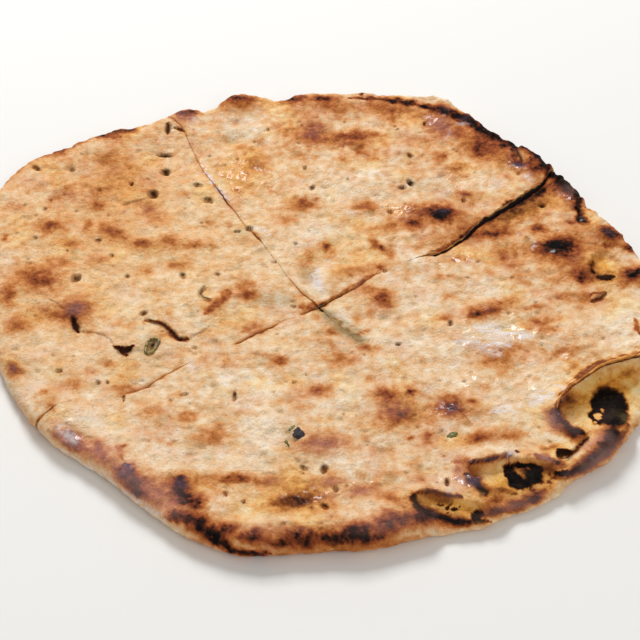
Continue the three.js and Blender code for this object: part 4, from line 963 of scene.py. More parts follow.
MARKS = {Tone.OCHRE: OCHRES, Tone.ASH: CHAR_SHEENS, Tone.ROSE: ROSES_AND_SHEENS, Tone.STAIN: STAINS,
         Tone.FLOUR: FLOURS_AND_GLINTS, Tone.GLOSS: GLOSSES}
# Tints that come and go: the most of each, the values of its noise between which it comes, and the
# size of that noise's cells and its shift.
TINTS = {Tone.OLIVE: (0.45, 0.2, 0.8, 4.5, 61), Tone.OCHRE: (0.38, 0.05, 0.7, 13.0, 17),
         Tone.ROSE: (0.45, 0.1, 0.7, 8.0, 77)}

SCATTER_REACH = 128.0  # seeded flecks, dimples and pits are drawn over a square this far each way
SCATTER_SEED = 5


@dataclass(frozen=True)
class Scatter:
    """Small ovals spread over the crust at random: how many, how long and how strong."""

    count: int
    sizes: tuple
    amounts: tuple

    def spread(self, draw: np.random.Generator) -> tuple[Oval, ...]:
        """Draws the ovals.

        Args:
            draw: the source of random numbers.

        Returns:
            The ovals.
        """
        place = draw.uniform(-SCATTER_REACH, SCATTER_REACH, (self.count, 2))
        length = draw.uniform(*self.sizes, self.count)
        width = length * draw.uniform(0.5, 1.0, self.count)
        turn = draw.uniform(-40, 40, self.count)
        amount = draw.uniform(*self.amounts, self.count)
        return ovals(*np.column_stack([place, length, width, amount, turn]).tolist())


FRECKLES = Scatter(420, (1.4, 5.0), (.05, .24))  # browned specks and blotches
DIMPLES = Scatter(600, (1.8, 4.2), (.20, .85))  # shallow and as deep as their amount, with a painted grey-olive shade in them
POCKS = Scatter(420, (0.9, 2.0), (.30, 1.0))  # pinholes, as deep as their amount
HALO = 2.0  # a toasted spot stands in a wider, golden one
HALO_SHARE = 0.14


class Crust:
    """The bread's surface as functions of place: how high it stands and how it is baked."""

    def __init__(self) -> None:
        """Draws the seeded marks, and evens out the lines that the forms follow."""
        draw = np.random.default_rng(SCATTER_SEED)
        self.freckles = FRECKLES.spread(draw)
        self.dimples = DIMPLES.spread(draw)
        self.pocks = POCKS.spread(draw)
        self.halos = [replace(mark, length=HALO * mark.length, width=HALO * mark.width,
                              amount=HALO_SHARE * mark.amount) for mark in SCORCHES]
        self.outline = smooth_line(sum(RIMS, ()), closed=True)
        self.fold_line = smooth_line(FOLD_LINE)
        self.cut_lines = {cut: evenly(smooth_line(cut.points), CUT_STEPS) for cut in CUTS}

    def cut_marks(self, at: Array, width: float) -> Array:
        """How near places are to a cut that shows: exp(-(d / width)^2), less where it has closed.

        Args:
            at: the places.
            width: how wide the mark of a cut is.

        Returns:
            0 to 1 for each place.
        """
        nearness = np.zeros(len(at))
        for cut, line in self.cut_lines.items():
            near, distance, place = close_to(at, line, 3 * width)
            shows = smooth(*SLIT_SHOWS, 2 * cut.half_gap(place / (len(line) - 1)))
            nearness[near] = np.maximum(nearness[near], shows * bell(distance, width))
        return nearness

    def rolls(self, at: Array, quarter: Quarter) -> Array:
        """How much the rim rises, which is the same for two neighbours along their cut.

        Args:
            at: the places.
            quarter: their quarter.

        Returns:
            The rise at each place.
        """
        at_first, own, at_second = quarter.rolls
        result = np.full(len(at), own)
        for cut, shared in ((quarter.first_cut, at_first), (quarter.second_cut, at_second)):
            distance, _ = nearest(at, self.cut_lines[cut][::COARSE])
            result = lerp(shared, result, smooth(0, ROLL_MEETS, distance))
        return result

    @staticmethod
    def ripples(at: Array) -> Array:
        """Gentle swells of the dough: cosine waves, each turned by the golden angle from the last.

        Args:
            at: the places.

        Returns:
            The height of the swells at each place.
        """
        height = np.zeros(len(at))
        for wave in range(RIPPLES):
            along, _ = turned(at[:, 0], at[:, 1], -wave * GOLDEN_ANGLE)
            length = RIPPLE_LENGTH / (1 + RIPPLE_SHORTENS * wave)
            phase = 2 * math.pi * along / length + RIPPLE_PHASE * wave * wave
            height += RIPPLE_HEIGHT / (1 + RIPPLE_LOWERS * wave) * np.cos(phase)
        return height

    @staticmethod
    def back_rim(at: Array, from_rim: Array) -> Array:
        """The burnt ridge of the back rim, which has two layers in its middle.

        Inside LEDGE_WIDTH the upper layer stands up with a lumpy crest, and outside it only the
        lower one shows.

        Args:
            at: the places.
            from_rim: how far each place is from the rim.

        Returns:
            The height that the layers add at each place.
        """
        flat = grounded(at)
        ridged = smooth(*LEDGE_STARTS, at[:, 0]) * smooth(*RIDGE_STARTS, at[:, 1])
        layered = ridged * (1 - smooth(*LEDGE_ENDS, at[:, 0]))
        wavy = from_rim + SWELL_NOISE.layers(flat, LEDGE_WAVES)
        lower = 1 - smooth(LEDGE_WIDTH - LEDGE_STEP, LEDGE_WIDTH + LEDGE_STEP, wavy)
        lumps = CREST_HEIGHT + KNOB_HEIGHT * SKIN_NOISE.at(flat, CREST_LUMPS)
        crest = lumps * bell(wavy - lerp(*CREST_PLACES, layered), CREST_WIDTH)
        return ridged * crest - layered * LEDGE_DROP * lower

    def base_height(self, at: Array, quarter: Quarter) -> Array:
        """The thickness of the dough with its swells, bubbles and the roll of its rim.

        height = THICKNESS + ripples + roll exp(-((d - ROLL_MIDDLE) / ROLL_WIDTH)^2) + bubbles, with
        d the distance from the rim.

        Args:
            at: the places.
            quarter: their quarter.

        Returns:
            The height at each place.
        """
        from_rim, _ = nearest(at, self.outline)
        height = THICKNESS + self.ripples(at) + self.back_rim(at, from_rim)
        height += self.rolls(at, quarter) * bell(from_rim - ROLL_MIDDLE, ROLL_WIDTH)
        for bubble in BUBBLES:
            touched, rise = bubble.touch(at)
            height[touched] += rise
        if quarter.lifts:
            line = self.cut_lines[RIGHT_CUT][::COARSE]
            distance, place = nearest(at, line)
            share = place / (len(line) - 1)
            height += GAP_LIFT * smooth(*LIFT_STARTS, share) * (1 - smooth(0, LIFT_REACH, distance))
        return height

    @staticmethod
    def skin(points: Array) -> Array:
        """The small unevenness of the dough's skin: swells, creases and grain, in millimetres.

        Args:
            points: the places on the bread.

        Returns:
            How far the skin stands out at each place.
        """
        creased = CREASE_LEVEL - np.abs(SKIN_NOISE.layers(points, CREASES))
        stretched = np.abs(SKIN_NOISE.layers(points, STRETCHES))
        grain = SWELL_NOISE.layers(points, SKIN_SWELLS) + SKIN_NOISE.layers(points, SKIN_GRAIN)
        return creased - stretched + grain

    def height(self, at: Array, quarter: Quarter) -> Array:
        """The top surface with everything that stands on it or sinks into it.

        Args:
            at: the places, rows of x and y.
            quarter: their quarter.

        Returns:
            The height at each place.
        """
        height = self.base_height(at, quarter)
        leaning = at.copy()
        leaning[:, 1] -= (MARK_PLANE - height) * LEAN
        leaning = MARK_NOISE.move(leaning, grounded(at), *RAGGED)
        for dent in DENTS:
            touched, rise = dent.touch(leaning)
            height[touched] += rise
        for mark in (*self.dimples, *self.pocks, *CRACKS):
            touched, depth = mark.touch(leaning)
            height[touched] -= depth
        for hole in HOLES:
            near = hole.near(leaning)
            height[near] -= hole.amount * (1 - smooth(*HOLE_WALL, hole.radius(leaning[near])))
        height -= CUT_PRESS * self.cut_marks(at, CUT_PRESS_WIDTH)
        for crater in CRATERS:
            crater.shape(height, at)
        return np.maximum(self.fold(height, at), THINNEST)

    def fold(self, height: Array, at: Array) -> Array:
        """The rolled fold: a round back of radius r, z = top - r + sqrt(r^2 - d^2).

        Args:
            height: the crust's height.
            at: the places.

        Returns:
            The height with the fold on it.
        """
        distance, _ = nearest(at, self.fold_line)
        rolled = FOLD_TOP - FOLD_RADIUS + np.sqrt((FOLD_RADIUS**2 - distance**2).clip(0))
        return np.where(distance < FOLD_RADIUS, np.maximum(height, rolled), height)

    def tones(self, points: Array) -> dict[Tone, Array]:
        """What each point carries.

        The plain crust varies with three sizes of noise. The marks lie over it, and their edges
        wander with the noise. Tints come and go with noises of their own.

        Args:
            points: the points on the bread.

        Returns:
            One array for each tone.
        """
        flat = points.copy()
        drop = MARK_PLANE - points[:, 2]
        under = smooth(*BEHIND, points[:, 1]) * (drop - BACK_DROP).clip(0)
        flat[:, 1] -= (drop - under) * LEAN
        flat[:, 2] = 0.0
        at = MARK_NOISE.move(flat, flat, *WANDER)
        browned = (*SCORCHES, *SCORCH_STROKES, *RIM_CHAR, *self.freckles, *self.halos)
        scorch = laid_over(browned, at) * (1 + MARK_NOISE.layers(flat, PATCHES))
        scorch *= 1 - UNDER_FADE * smooth(*UNDER_FADES, under)
        blister = laid_over((*BLISTER_CHAR, *BLISTER_BAKE, *BLISTER_STROKES), at)
        blister *= 1 - laid_over(FLAKED, at)
        # painted shade along the open cuts
        edges = CUT_SHADE * self.cut_marks(points, CUT_SHADE_WIDTH)
        uneven = 1 - EVENNESS * laid_over(EVENS, at)
        plain = PLAIN_BAKE + uneven * MARK_NOISE.layers(flat, PLAIN)
        plain = lerp(plain, PALE_BAKE, PALE_SHARE * laid_over(PALES, at))
        tint = {tone: most * smooth(low, high, MARK_NOISE.at(flat + shift, size))
                for tone, (most, low, high, size, shift) in TINTS.items()}
        tones = {tone: laid_over(marks, at) for tone, marks in MARKS.items()}
        ochre = tones[Tone.OCHRE]
        olive_and_shade = covered(tint[Tone.OLIVE], laid_over((*OLIVES_AND_SHADES, *self.dimples), at))
        rosy = tint[Tone.ROSE] * (1 - ochre) * (1 - ROSE_BURNS * scorch).clip(0, 1)
        tones[Tone.BAKE] = covered(plain, scorch, blister, edges)
        tones[Tone.PIT] = self.pits(flat)
        tones[Tone.OLIVE] = olive_and_shade * (1 - OLIVE_BURNS * scorch).clip(0, 1) * (1 - ochre)
        tones[Tone.ROSE] = covered(rosy, tones[Tone.ROSE])
        tones[Tone.OCHRE] = covered(tint[Tone.OCHRE], ochre)
        tones[Tone.STAIN] *= (STAIN_LEVEL + MARK_NOISE.layers(flat, STREAKS)).clip(0, 1)
        tones[Tone.FLOUR] *= smooth(*DUST_EDGE, MARK_NOISE.layers(flat, DUST))
        return tones

    def pits(self, flat: Array) -> Array:
        """How deep in a hole, pinhole or crack places are, which sets the painted shade there.

        Args:
            flat: the places, in the plane of the marks.

        Returns:
            0 to 1 for each place.
        """
        at = MARK_NOISE.move(flat, flat, *RAGGED)
        pit_shade = np.zeros(len(at))
        for hole in (*HOLES, *self.pocks):
            near = hole.near(at)
            shade = min(1.0, hole.amount / DARK_HOLE) * (1 - smooth(*HOLE_SHADE, hole.radius(at[near])))
            pit_shade[near] = np.maximum(pit_shade[near], shade)
        for crack in CRACKS:
            touched, depth = crack.touch(at)
            pit_shade[touched] = np.maximum(pit_shade[touched], (depth / DARK_CRACK).clip(0, 1))
        return pit_shade


def add_object(name: str, data: bpy.types.ID) -> bpy.types.Object:
    """Makes an object of a mesh, a lamp or a camera, and adds it to the scene."""
    made = bpy.data.objects.new(name, data)
    bpy.context.scene.collection.objects.link(made)
    return made


def make_piece(name: str, points: Array, faces: list, slots: Array, finishes: list,
               tones: dict[Tone, Array]) -> bpy.types.Object:
    """Makes a smooth-shaded piece, with crisp edges where two finishes meet.

    Args:
        name: the piece's name.
        points: its points, in millimetres.
        faces: the vertex numbers of each face.
        slots: the number of each face's material.
        finishes: the materials.
        tones: what its points carry.

    Returns:
        The new object.
    """
    mesh = bpy.data.meshes.new(name + "_skin")
    mesh.from_pydata((points * MM).tolist(), [], faces)
    for finish in finishes:
        mesh.materials.append(finish)
    mesh.polygons.foreach_set("material_index", slots)
    mesh.polygons.foreach_set("use_smooth", np.ones(len(faces), bool))
    corners = np.empty(len(mesh.loops), np.int32)
    mesh.loops.foreach_get("edge_index", corners)
    around = np.repeat(slots, [len(face) for face in faces])
    lowest, highest = np.full(len(mesh.edges), len(Slot)), np.zeros(len(mesh.edges), int)
    np.minimum.at(lowest, corners, around)
    np.maximum.at(highest, corners, around)
    mesh.edges.foreach_set("use_edge_sharp", lowest != highest)
    for tone, values in tones.items():
        layer = mesh.attributes.new(tone.value, "FLOAT", "POINT")
        layer.data.foreach_set("value", values.astype(np.float32))
    mesh.update()
    return add_object(name, mesh)


def grid_faces(numbers: Array, upward: bool) -> Array:
    """The four-sided faces of a grid of vertex numbers."""
    a, b = numbers[:-1, :-1].ravel(), numbers[:-1, 1:].ravel()
    c, d = numbers[1:, 1:].ravel(), numbers[1:, :-1].ravel()
    return np.stack([a, b, c, d] if upward else [a, d, c, b], axis=1)


# ----------------------------------------------------------------------------- one quarter
class Slot(Enum):
    """The material slots of a quarter, in their order on the mesh."""

    CRUST = 0
    CRUMB = 1
    BASE = 2


@dataclass
class Quarter:
    """One quarter of the bread, anticlockwise from its first cut to its second."""

    name: str
    rim_index: int
    first_cut: Cut
    second_cut: Cut
    bulge: float  # how far the rim rounds out past the top edge
    rolls: tuple  # how much higher the rim is than the middle: at the first cut, between, at the second
    lifts: bool = False
    vertices: list = field(default_factory=list)
    depths: list = field(default_factory=list)
    faces: list = field(default_factory=list)
    slots: list = field(default_factory=list)
    count: int = 0

    def cut_edge(self, cut: Cut, side: int) -> Array:
        """The cut edge of the crust, from the middle out to the top of the rim.

        Both sides of a cut wander together, and each has torn back a little where it is open.

        Args:
            cut: the cut.
            side: 1 where the quarter lies to the left of the cut, -1 where it lies to the right.

        Returns:
            CELLS + 1 points.
        """
        line = evenly(smooth_line(cut.points), CELLS, 0, self.bulge)
        flat = grounded(line)
        share = np.arange(CELLS + 1) / CELLS
        half = cut.half_gap(share)
        torn = TORN_LEVEL + SKIN_NOISE.at(flat + TORN_SHIFT * side, TORN_LENGTH)
        torn = torn.clip(0) * smooth(*TORN_GAPS, half)
        bites = SKIN_NOISE.at(flat + BITE_SHIFT, BITE_LENGTH).clip(0, BITE_MOST) * smooth(*BITE_GAPS, half)
        shift = SKIN_NOISE.layers(flat, CUT_WANDER) * smooth(0, CUT_STEADY, share)
        shift += side * (half + CUT_RETREAT * torn + BITE * bites * (side > 0))
        return line + left_of(directions(line)) * shift[:, None]

    def rim_edges(self, first: Array, second: Array) -> tuple[Array, Array]:
        """The line where the top ends at the rim, and the way that the rim faces.

        Args:
            first: the first cut edge.
            second: the second cut edge.

        Returns:
            The line and the unit directions, 2 CELLS + 1 points each.
        """
        start = sum(len(rim) for rim in RIMS[:self.rim_index]) * FINE_STEPS
        steps = len(RIMS[self.rim_index]) * FINE_STEPS
        stretch = smooth_line(sum(RIMS, ()), closed=True)[start:start + steps + 1]
        outer = evenly(stretch, 2 * CELLS, RIM_GAP / 2, RIM_GAP / 2)
        along = lengths_along(outer)
        from_start = smooth(0, RIM_BLEND, along)[:, None]
        from_end = smooth(0, RIM_BLEND, along[-1] - along)[:, None]
        facing = -left_of(directions(outer)) * from_start * from_end
        facing += directions(first)[-1] * (1 - from_start) + directions(second)[-1] * (1 - from_end)
        facing /= np.linalg.norm(facing, axis=1, keepdims=True)
        flat = grounded(outer)
        burnt_corner = smooth(*CORNER_X, outer[:, 0]) * smooth(*CORNER_Y, outer[:, 1])
        lumps = (SWELL_NOISE.layers(flat, RIM_SWELLS) + SKIN_NOISE.layers(flat, RIM_GRAIN)
                 + burnt_corner * SKIN_NOISE.layers(flat, KNOBS))
        calm = smooth(0, RIM_CALM, along) * smooth(0, RIM_CALM, along[-1] - along)
        inner = outer + facing * (RIM_LUMP * lumps * calm - self.bulge)[:, None]
        inner[0], inner[-1] = first[-1], second[-1]
        return inner, facing

    @staticmethod
    def patch(first: Array, second: Array, inner: Array) -> Array:
        """A grid stretched between two cut edges and the two halves of the rim.

        P(u, v) = (1 - v) first(u) + v back(u) + (1 - u) second(v) + u side(v), less the blend of
        the four corners.

        Args:
            first: the edge where v is 0.
            second: the edge where u is 0.
            inner: the edge where u is 1, then the edge where v is 1, backwards.

        Returns:
            The grid's points, rows by v.
        """
        cells = len(first) - 1
        u = (np.arange(cells + 1) / cells)[None, :, None]
        v = (np.arange(cells + 1) / cells)[:, None, None]
        grid = (1 - v) * first[None] + v * inner[2 * cells:cells - 1:-1][None]
        grid = grid + (1 - u) * second[:, None] + u * inner[:cells + 1][:, None]
        grid = grid - (1 - u) * (1 - v) * first[0] - u * (1 - v) * first[-1]
        return grid - (1 - u) * v * second[-1] - u * v * inner[cells]

    @staticmethod
    def border(cells: int) -> tuple[Array, Array]:
        """The columns and rows of a grid's border, anticlockwise from the middle of the bread."""
        none, full = np.zeros(cells, int), np.full(cells, cells)
        up, down = np.arange(cells), np.arange(cells, 0, -1)
        return np.concatenate([up, full, down, none]), np.concatenate([none, up, full, down])

    def add_vertices(self, points: Array, depths: Array | float = 0.0) -> Array:
        """Adds points to the mesh.

        Args:
            points: the points.
            depths: how far each lies below the crust in a cut face, and 0 elsewhere.

        Returns:
            The numbers of the new vertices.
        """
        numbers = np.arange(self.count, self.count + len(points))
        self.vertices.append(points)
        self.depths.append(np.broadcast_to(depths, len(points)))
        self.count += len(points)
        return numbers

    def add_faces(self, faces: Array, slots: Array | int) -> None:
        """Adds faces of one size, all of one slot or each with its own."""
        self.faces.extend(faces.tolist())
        self.slots.append(np.broadcast_to(slots, len(faces)).astype(np.int32))

    def shape(self, crust: Crust) -> Array:
        """Makes the quarter's surface from its top, its walls and its underside.

        Args:
            crust: the bread's surface.

        Returns:
            All the points.
        """
        first = self.cut_edge(self.first_cut, 1)
        second = self.cut_edge(self.second_cut, -1)
        first[0] = second[0] = first[0] + second[0] - np.array(MIDDLE)
        inner, facing = self.rim_edges(first, second)
        plan = self.patch(first, second, inner).reshape(-1, 2)
        base = np.column_stack([plan, crust.height(plan, self)])
        raised = base.copy()
        raised[:, 2] += crust.skin(base)
        numbers = self.add_vertices(raised).reshape(CELLS + 1, CELLS + 1)
        self.add_faces(grid_faces(numbers, True), Slot.CRUST.value)
        ring = self.walls(crust, base.reshape(CELLS + 1, CELLS + 1, 3), numbers, facing)
        self.underside(ring)
        return np.vstack(self.vertices)

    def walls(self, crust: Crust, base: Array, numbers: Array, facing: Array) -> Array:
        """The rim and the cut faces, ring by ring from the top down.

        At the angle a from +90 to -90 degrees a rim point stands bulge cos(a) outwards, at
        z = top (1 + sin a) / 2. A cut face goes straight down, with pores pressed into it.

        Args:
            crust: the bread's surface.
            base: the top's grid before its skin was added.
            numbers: the vertex numbers of the top's grid.
            facing: the way that the rim faces, at each of its points.

        Returns:
            The vertex numbers of the lowest ring.
        """
        i, j = self.border(CELLS)
        start = base[j, i]
        on_rim = (i == CELLS) | (j == CELLS)
        place = np.where(i == CELLS, j, 2 * CELLS - i)
        outward = np.where(on_rim[:, None], facing[np.where(on_rim, place, 0)], 0.0)
        along = directions(np.vstack([start[-1:, :2], start[:, :2], start[:1, :2]]))[1:-1]
        inward = np.where(on_rim[:, None], 0.0, left_of(along))
        above = numbers[j, i]
        for step in range(1, WALL_STEPS + 1):
            angle = math.pi * (0.5 - step / WALL_STEPS)
            points = np.empty((len(start), 3))
            points[:, :2] = start[:, :2] + self.bulge * math.cos(angle) * outward
            points[:, 2] = start[:, 2] * (1 + math.sin(angle)) / 2
            skin = crust.skin(points) * (step < WALL_STEPS)
            tilt = math.sin(angle) if angle > 0 else 0.0
            points[:, :2] += outward * (skin * math.cos(angle))[:, None]
            points[:, 2] += skin * tilt
            pores = (PORE_LEVEL + SKIN_NOISE.at(points, PORE_SIZE)).clip(0) * PORE_DEPTH * math.cos(angle)
            points[:, :2] += inward * pores[:, None]
            points[:, 2] = points[:, 2].clip(0)
            ring = self.add_vertices(points, np.where(on_rim, 0.0, start[:, 2] - points[:, 2]))
            after = np.roll(np.arange(len(ring)), -1)
            faces = np.stack([above, ring, ring[after], above[after]], axis=1)
            self.add_faces(faces, np.where(on_rim & on_rim[after], Slot.CRUST.value, Slot.CRUMB.value))
            above = ring
        return above

    def underside(self, ring: Array) -> None:
        """The flat underside: a grid of half as many cells, joined to the lowest ring.

        Args:
            ring: the vertex numbers of the lowest ring.
        """
        cells = CELLS // 2
        points = np.vstack(self.vertices)[ring][::2, :2]
        inwards = points.mean(axis=0) - points
        inwards /= np.linalg.norm(inwards, axis=1, keepdims=True)
        points = points + inwards * BASE_INSET
        second = np.vstack([points[:1], points[:3 * cells - 1:-1]])
        plan = self.patch(points[:cells + 1], second, points[cells:3 * cells + 1])
        numbers = self.add_vertices(grounded(plan.reshape(-1, 2))).reshape(cells + 1, cells + 1)
        self.add_faces(grid_faces(numbers, False), Slot.BASE.value)
        i, j = self.border(cells)
        coarse = numbers[j, i]
        ahead = np.roll(coarse, -1)
        a, b, c = ring[::2], ring[1::2], np.roll(ring[::2], -1)
        corners = ((a, coarse, b), (b, ahead, c), (b, coarse, ahead))
        fan = np.concatenate([np.stack(three, axis=1) for three in corners])
        self.add_faces(fan, Slot.BASE.value)

    def build(self, crust: Crust, finishes: list) -> bpy.types.Object:
        """Makes the quarter's object, with its tones on the vertices.

        Args:
            crust: the bread's surface.
            finishes: the materials, in the order of Slot.

        Returns:
            The new object.
        """
        points = self.shape(crust)
        tones = crust.tones(points)
        tones[Tone.BAKE] = self.shaded_slit_walls(crust, points, tones[Tone.BAKE])
        slots = np.concatenate(self.slots)
        return make_piece(self.name + "_baked", points, self.faces, slots, finishes, tones)

    def shaded_slit_walls(self, crust: Crust, points: Array, bake: Array) -> Array:
        """The baking, with cut faces raw but for the open slit's wall, which is darkened below its top as
        painted shade.

        Args:
            crust: the bread's surface.
            points: the quarter's points.
            bake: the baking of the crust at each of them.

        Returns:
            The baking at each point.
        """
        depths = np.concatenate(self.depths)
        line = crust.cut_lines[RIGHT_CUT]
        near, _, place = close_to(points, line, SLIT_SHADE_REACH)
        widths = 2 * RIGHT_CUT.half_gap(place / (len(line) - 1))
        patches = SKIN_NOISE.at(points[near] * (1, 1, 0), BITE_LENGTH).clip(0)
        # painted shade on the slit's walls, darker further down and where the slit is wider
        burnt = np.zeros(len(points))
        burnt[near] = smooth(*CRUMB_STRIP, depths[near] - SLIT_SHADE_PATCHES * patches)
        burnt[near] *= smooth(*SLIT_SHADE_WIDTHS, widths)
        return np.where(depths > 0, burnt, bake)


# ----------------------------------------------------------------------------- small pieces
@dataclass(frozen=True)
class Bit:
    """A small solid on the crust, built from one grid that closes on itself."""

    name: str
    slot: str

    def build(self, crust: Crust, quarters: dict[str, Quarter],
              finish: bpy.types.Material) -> bpy.types.Object:
        """Makes the piece.

        Args:
            crust: the bread's surface.
            quarters: the quarters by their slots.
            finish: the piece's material.

        Returns:
            The new object.
        """
        grid, tones = self.shape(crust, quarters[self.slot])
        rows, columns = grid.shape[:2]
        numbers = np.arange(rows * columns).reshape(rows, columns)
        faces = grid_faces(np.hstack([numbers, numbers[:, :1]]), True).tolist()
        faces += [numbers[0].tolist()[::-1], numbers[-1].tolist()]
        slots = np.zeros(len(faces), np.int32)
        return make_piece(self.name, grid.reshape(-1, 3), faces, slots, [finish], tones)

    def shape(self, crust: Crust, quarter: Quarter) -> tuple[Array, dict[Tone, Array]]:
        """The grid's points, rows along the piece and columns round it, and their tones."""
        raise NotImplementedError


@dataclass(frozen=True)
class Lump(Bit):
    """A bit of herb that baked into the crust: an oval body with a crumpled surface."""

    place: tuple
    size: tuple  # length, width and height
    turn: float
    crumple: float
    rings: int = 22
    columns: int = 32

    def shape(self, crust: Crust, quarter: Quarter) -> tuple[Array, dict[Tone, Array]]:
        """A ball stretched to the size, each point pushed out by crumple times the noise there.

        Args:
            crust: the bread's surface.
            quarter: the quarter that it lies on.

        Returns:
            The grid's points, and no tones.
        """
        level = crust.height(np.array([self.place]), quarter)[0]
        down = np.linspace(math.pi - 0.02, 0.02, self.rings)[:, None]
        about = np.linspace(0, 2 * math.pi, self.columns, endpoint=False)[None, :]
        ball = np.stack([np.sin(down) * np.cos(about), np.sin(down) * np.sin(about),
                         np.cos(down) + 0 * about], axis=2).reshape(-1, 3)
        ball *= 1 + self.crumple * SKIN_NOISE.at(ball + (*self.place, 0.0), CRUMPLE_SIZE)[:, None]
        body = ball * self.size / 2
        x, y = turned(body[:, 0], body[:, 1], self.turn)
        z = body[:, 2] + level + HERB_SITS * self.size[2]
        points = np.stack([x + self.place[0], y + self.place[1], z], axis=1)
        return points.reshape(self.rings, self.columns, 3), {}


@dataclass(frozen=True)
class TornFlap(Bit):
    """The thin torn crust that stands along a burst blister's edge and curls in over it."""

    crater: Crater
    span: tuple  # the first and last numbers of the outline's points that it follows
    rise: float
    lean: float
    thickness: float
    bakes: tuple  # the baking at its foot and at its tip
    ochre: float
    steps: int = 110
    curls: int = 9

    def shape(self, crust: Crust, quarter: Quarter) -> tuple[Array, dict[Tone, Array]]:
        """A strip that rises by rise sin(w) and leans in by lean (1 - cos w), with w up to 115 degrees.

        Its height is ragged with the noise and falls to a stub at both ends.

        Args:
            crust: the bread's surface; not used.
            quarter: the quarter that it stands on; not used.

        Returns:
            The grid's points, and their baking and ochre.
        """
        first, last = self.span
        line = evenly(smooth_line(self.crater.outline[first:last + 1]), self.steps - 1)
        inward = -left_of(directions(line[:, :2]))
        ends = np.sqrt(np.sin(math.pi * np.linspace(0, 1, self.steps)).clip(0.004, 1))[:, None]
        tall = lerp(FLAP_STUB, 1.0, ends) * (1 + SKIN_NOISE.layers(line, FLAP_RAGS))[:, None]
        wave = SWELL_NOISE.layers(line, FLAP_WAVES)[:, None]
        w = np.linspace(*FLAP_CURL, self.curls)
        outer = np.concatenate([w, w[::-1]])
        tip = outer.clip(0) / w[-1]
        thick = np.repeat([-0.5, 0.5], self.curls) * self.thickness * (1 - 0.5 * tip)
        up = self.rise * np.sin(outer) * tall - thick * np.sin(outer)
        lean = self.lean * (1 - np.cos(outer)) * tall + wave * np.sin(outer) + thick * np.cos(outer)
        grid = np.empty((self.steps, 2 * self.curls, 3))
        grid[..., :2] = line[:, None, :2] + inward[:, None] * (lean + FLAP_INSET)[..., None]
        grid[..., 2] = line[:, None, 2] + up - FLAP_ROOT
        rising = np.broadcast_to(tip, grid.shape[:2]).ravel()
        bake = lerp(*self.bakes, rising**1.4) + MARK_NOISE.layers(grid.reshape(-1, 3), FLAP_SPOTS)
        return grid, {Tone.BAKE: bake, Tone.OCHRE: np.full(len(bake), self.ochre)}


@dataclass(frozen=True)
class ChilliRing(Bit):
    """A thin slice of chilli, baked on: a bent ring."""

    place: tuple
    radii: tuple
    turn: float
    thickness: float
    steps: int = 64
    columns: int = 12

    def shape(self, crust: Crust, quarter: Quarter) -> tuple[Array, dict[Tone, Array]]:
        """A round cord of the thickness on an oval, open by a small gap where the slice has split.

        Args:
            crust: the bread's surface.
            quarter: the quarter that it lies on.

        Returns:
            The grid's points, and no tones.
        """
        about = np.linspace(CHILLI_SPLIT, 2 * math.pi - CHILLI_SPLIT, self.steps)
        oval = turned(self.radii[0] * np.cos(about), self.radii[1] * np.sin(about), self.turn)
        plan = np.column_stack(oval) + self.place
        middle = np.column_stack([plan, crust.height(plan, quarter) + CHILLI_SITS * self.thickness])
        outward = -left_of(directions(middle[:, :2]))
        w = np.linspace(0, 2 * math.pi, self.columns, endpoint=False)
        thick = (self.thickness / 2 * (1 + SKIN_NOISE.layers(middle, CHILLI_RIPPLES)))[:, None]
        grid = np.empty((self.steps, self.columns, 3))
        grid[..., :2] = middle[:, None, :2] + outward[:, None] * (thick * np.cos(w))[..., None]
        grid[..., 2] = middle[:, None, 2] + thick * np.sin(w)
        return grid[:, ::-1], {}


# ----------------------------------------------------------------------------- finishes
def linear(code: str) -> tuple[float, float, float, float]:
    """An sRGB hex colour as linear red, green, blue and alpha."""
    parts = [int(code[k:k + 2], 16) / 255 for k in (1, 3, 5)]
    light = [c / 12.92 if c <= 0.04045 else ((c + 0.055) / 1.055) ** 2.4 for c in parts]
    return (*light, 1.0)


def feed(tree: Tree, made: bpy.types.Node, inputs: dict) -> None:
    """Sets a node's inputs, or links them.

    Args:
        tree: the material's nodes.
        made: the node.
        inputs: for each input, by name or number, a value or the output that it is linked to.
    """
    for key, value in inputs.items():
        if isinstance(value, Socket):
            tree.links.new(value, made.inputs[key])
        else:
            made.inputs[key].default_value = value


def node(tree: Tree, kind: str, settings: dict, inputs: dict, output: str | int = 0) -> Socket:
    """Adds a node.

    Args:
        tree: the material's nodes.
        kind: the node's type.
        settings: its own properties.
        inputs: for each input, by name or number, a value or the output that it is linked to.
        output: the name or number of the wanted output.

    Returns:
        The output.
    """
    made = tree.nodes.new(kind)
    for name, value in settings.items():
        setattr(made, name, value)
    feed(tree, made, inputs)
    return made.outputs[output]


def weighted(tree: Tree, start: Socket | float, *rows: tuple) -> Socket:
    """A start plus each row's output times its weight.

    Args:
        tree: the material's nodes.
        start: the output or the number to start from.
        rows: outputs and their weights.

    Returns:
        The sum.
    """
    for value, weight in rows:
        start = node(tree, "ShaderNodeMath", {"operation": "MULTIPLY_ADD"}, {0: value, 1: weight, 2: start})
    return start


class Finish:
    """A material made of nodes on Object coordinates."""

    name: str

    def build(self) -> bpy.types.Material:
        """Makes the material.

        Returns:
            The material, with its nodes linked to its shader.
        """
        material = bpy.data.materials.new(self.name)
        material.use_nodes = True
        tree = material.node_tree
        place = node(tree, "ShaderNodeTexCoord", {}, {}, "Object")
        feed(tree, tree.nodes["Principled BSDF"], self.shade(tree, place))
        return material

    def shade(self, tree: Tree, place: Socket) -> dict[str, Socket | float]:
        """What goes into the shader's inputs."""
        raise NotImplementedError


def per_mm(size: float) -> float:
    """The scale of a noise texture whose features are this many millimetres apart."""
    return 1 / (size * MM)


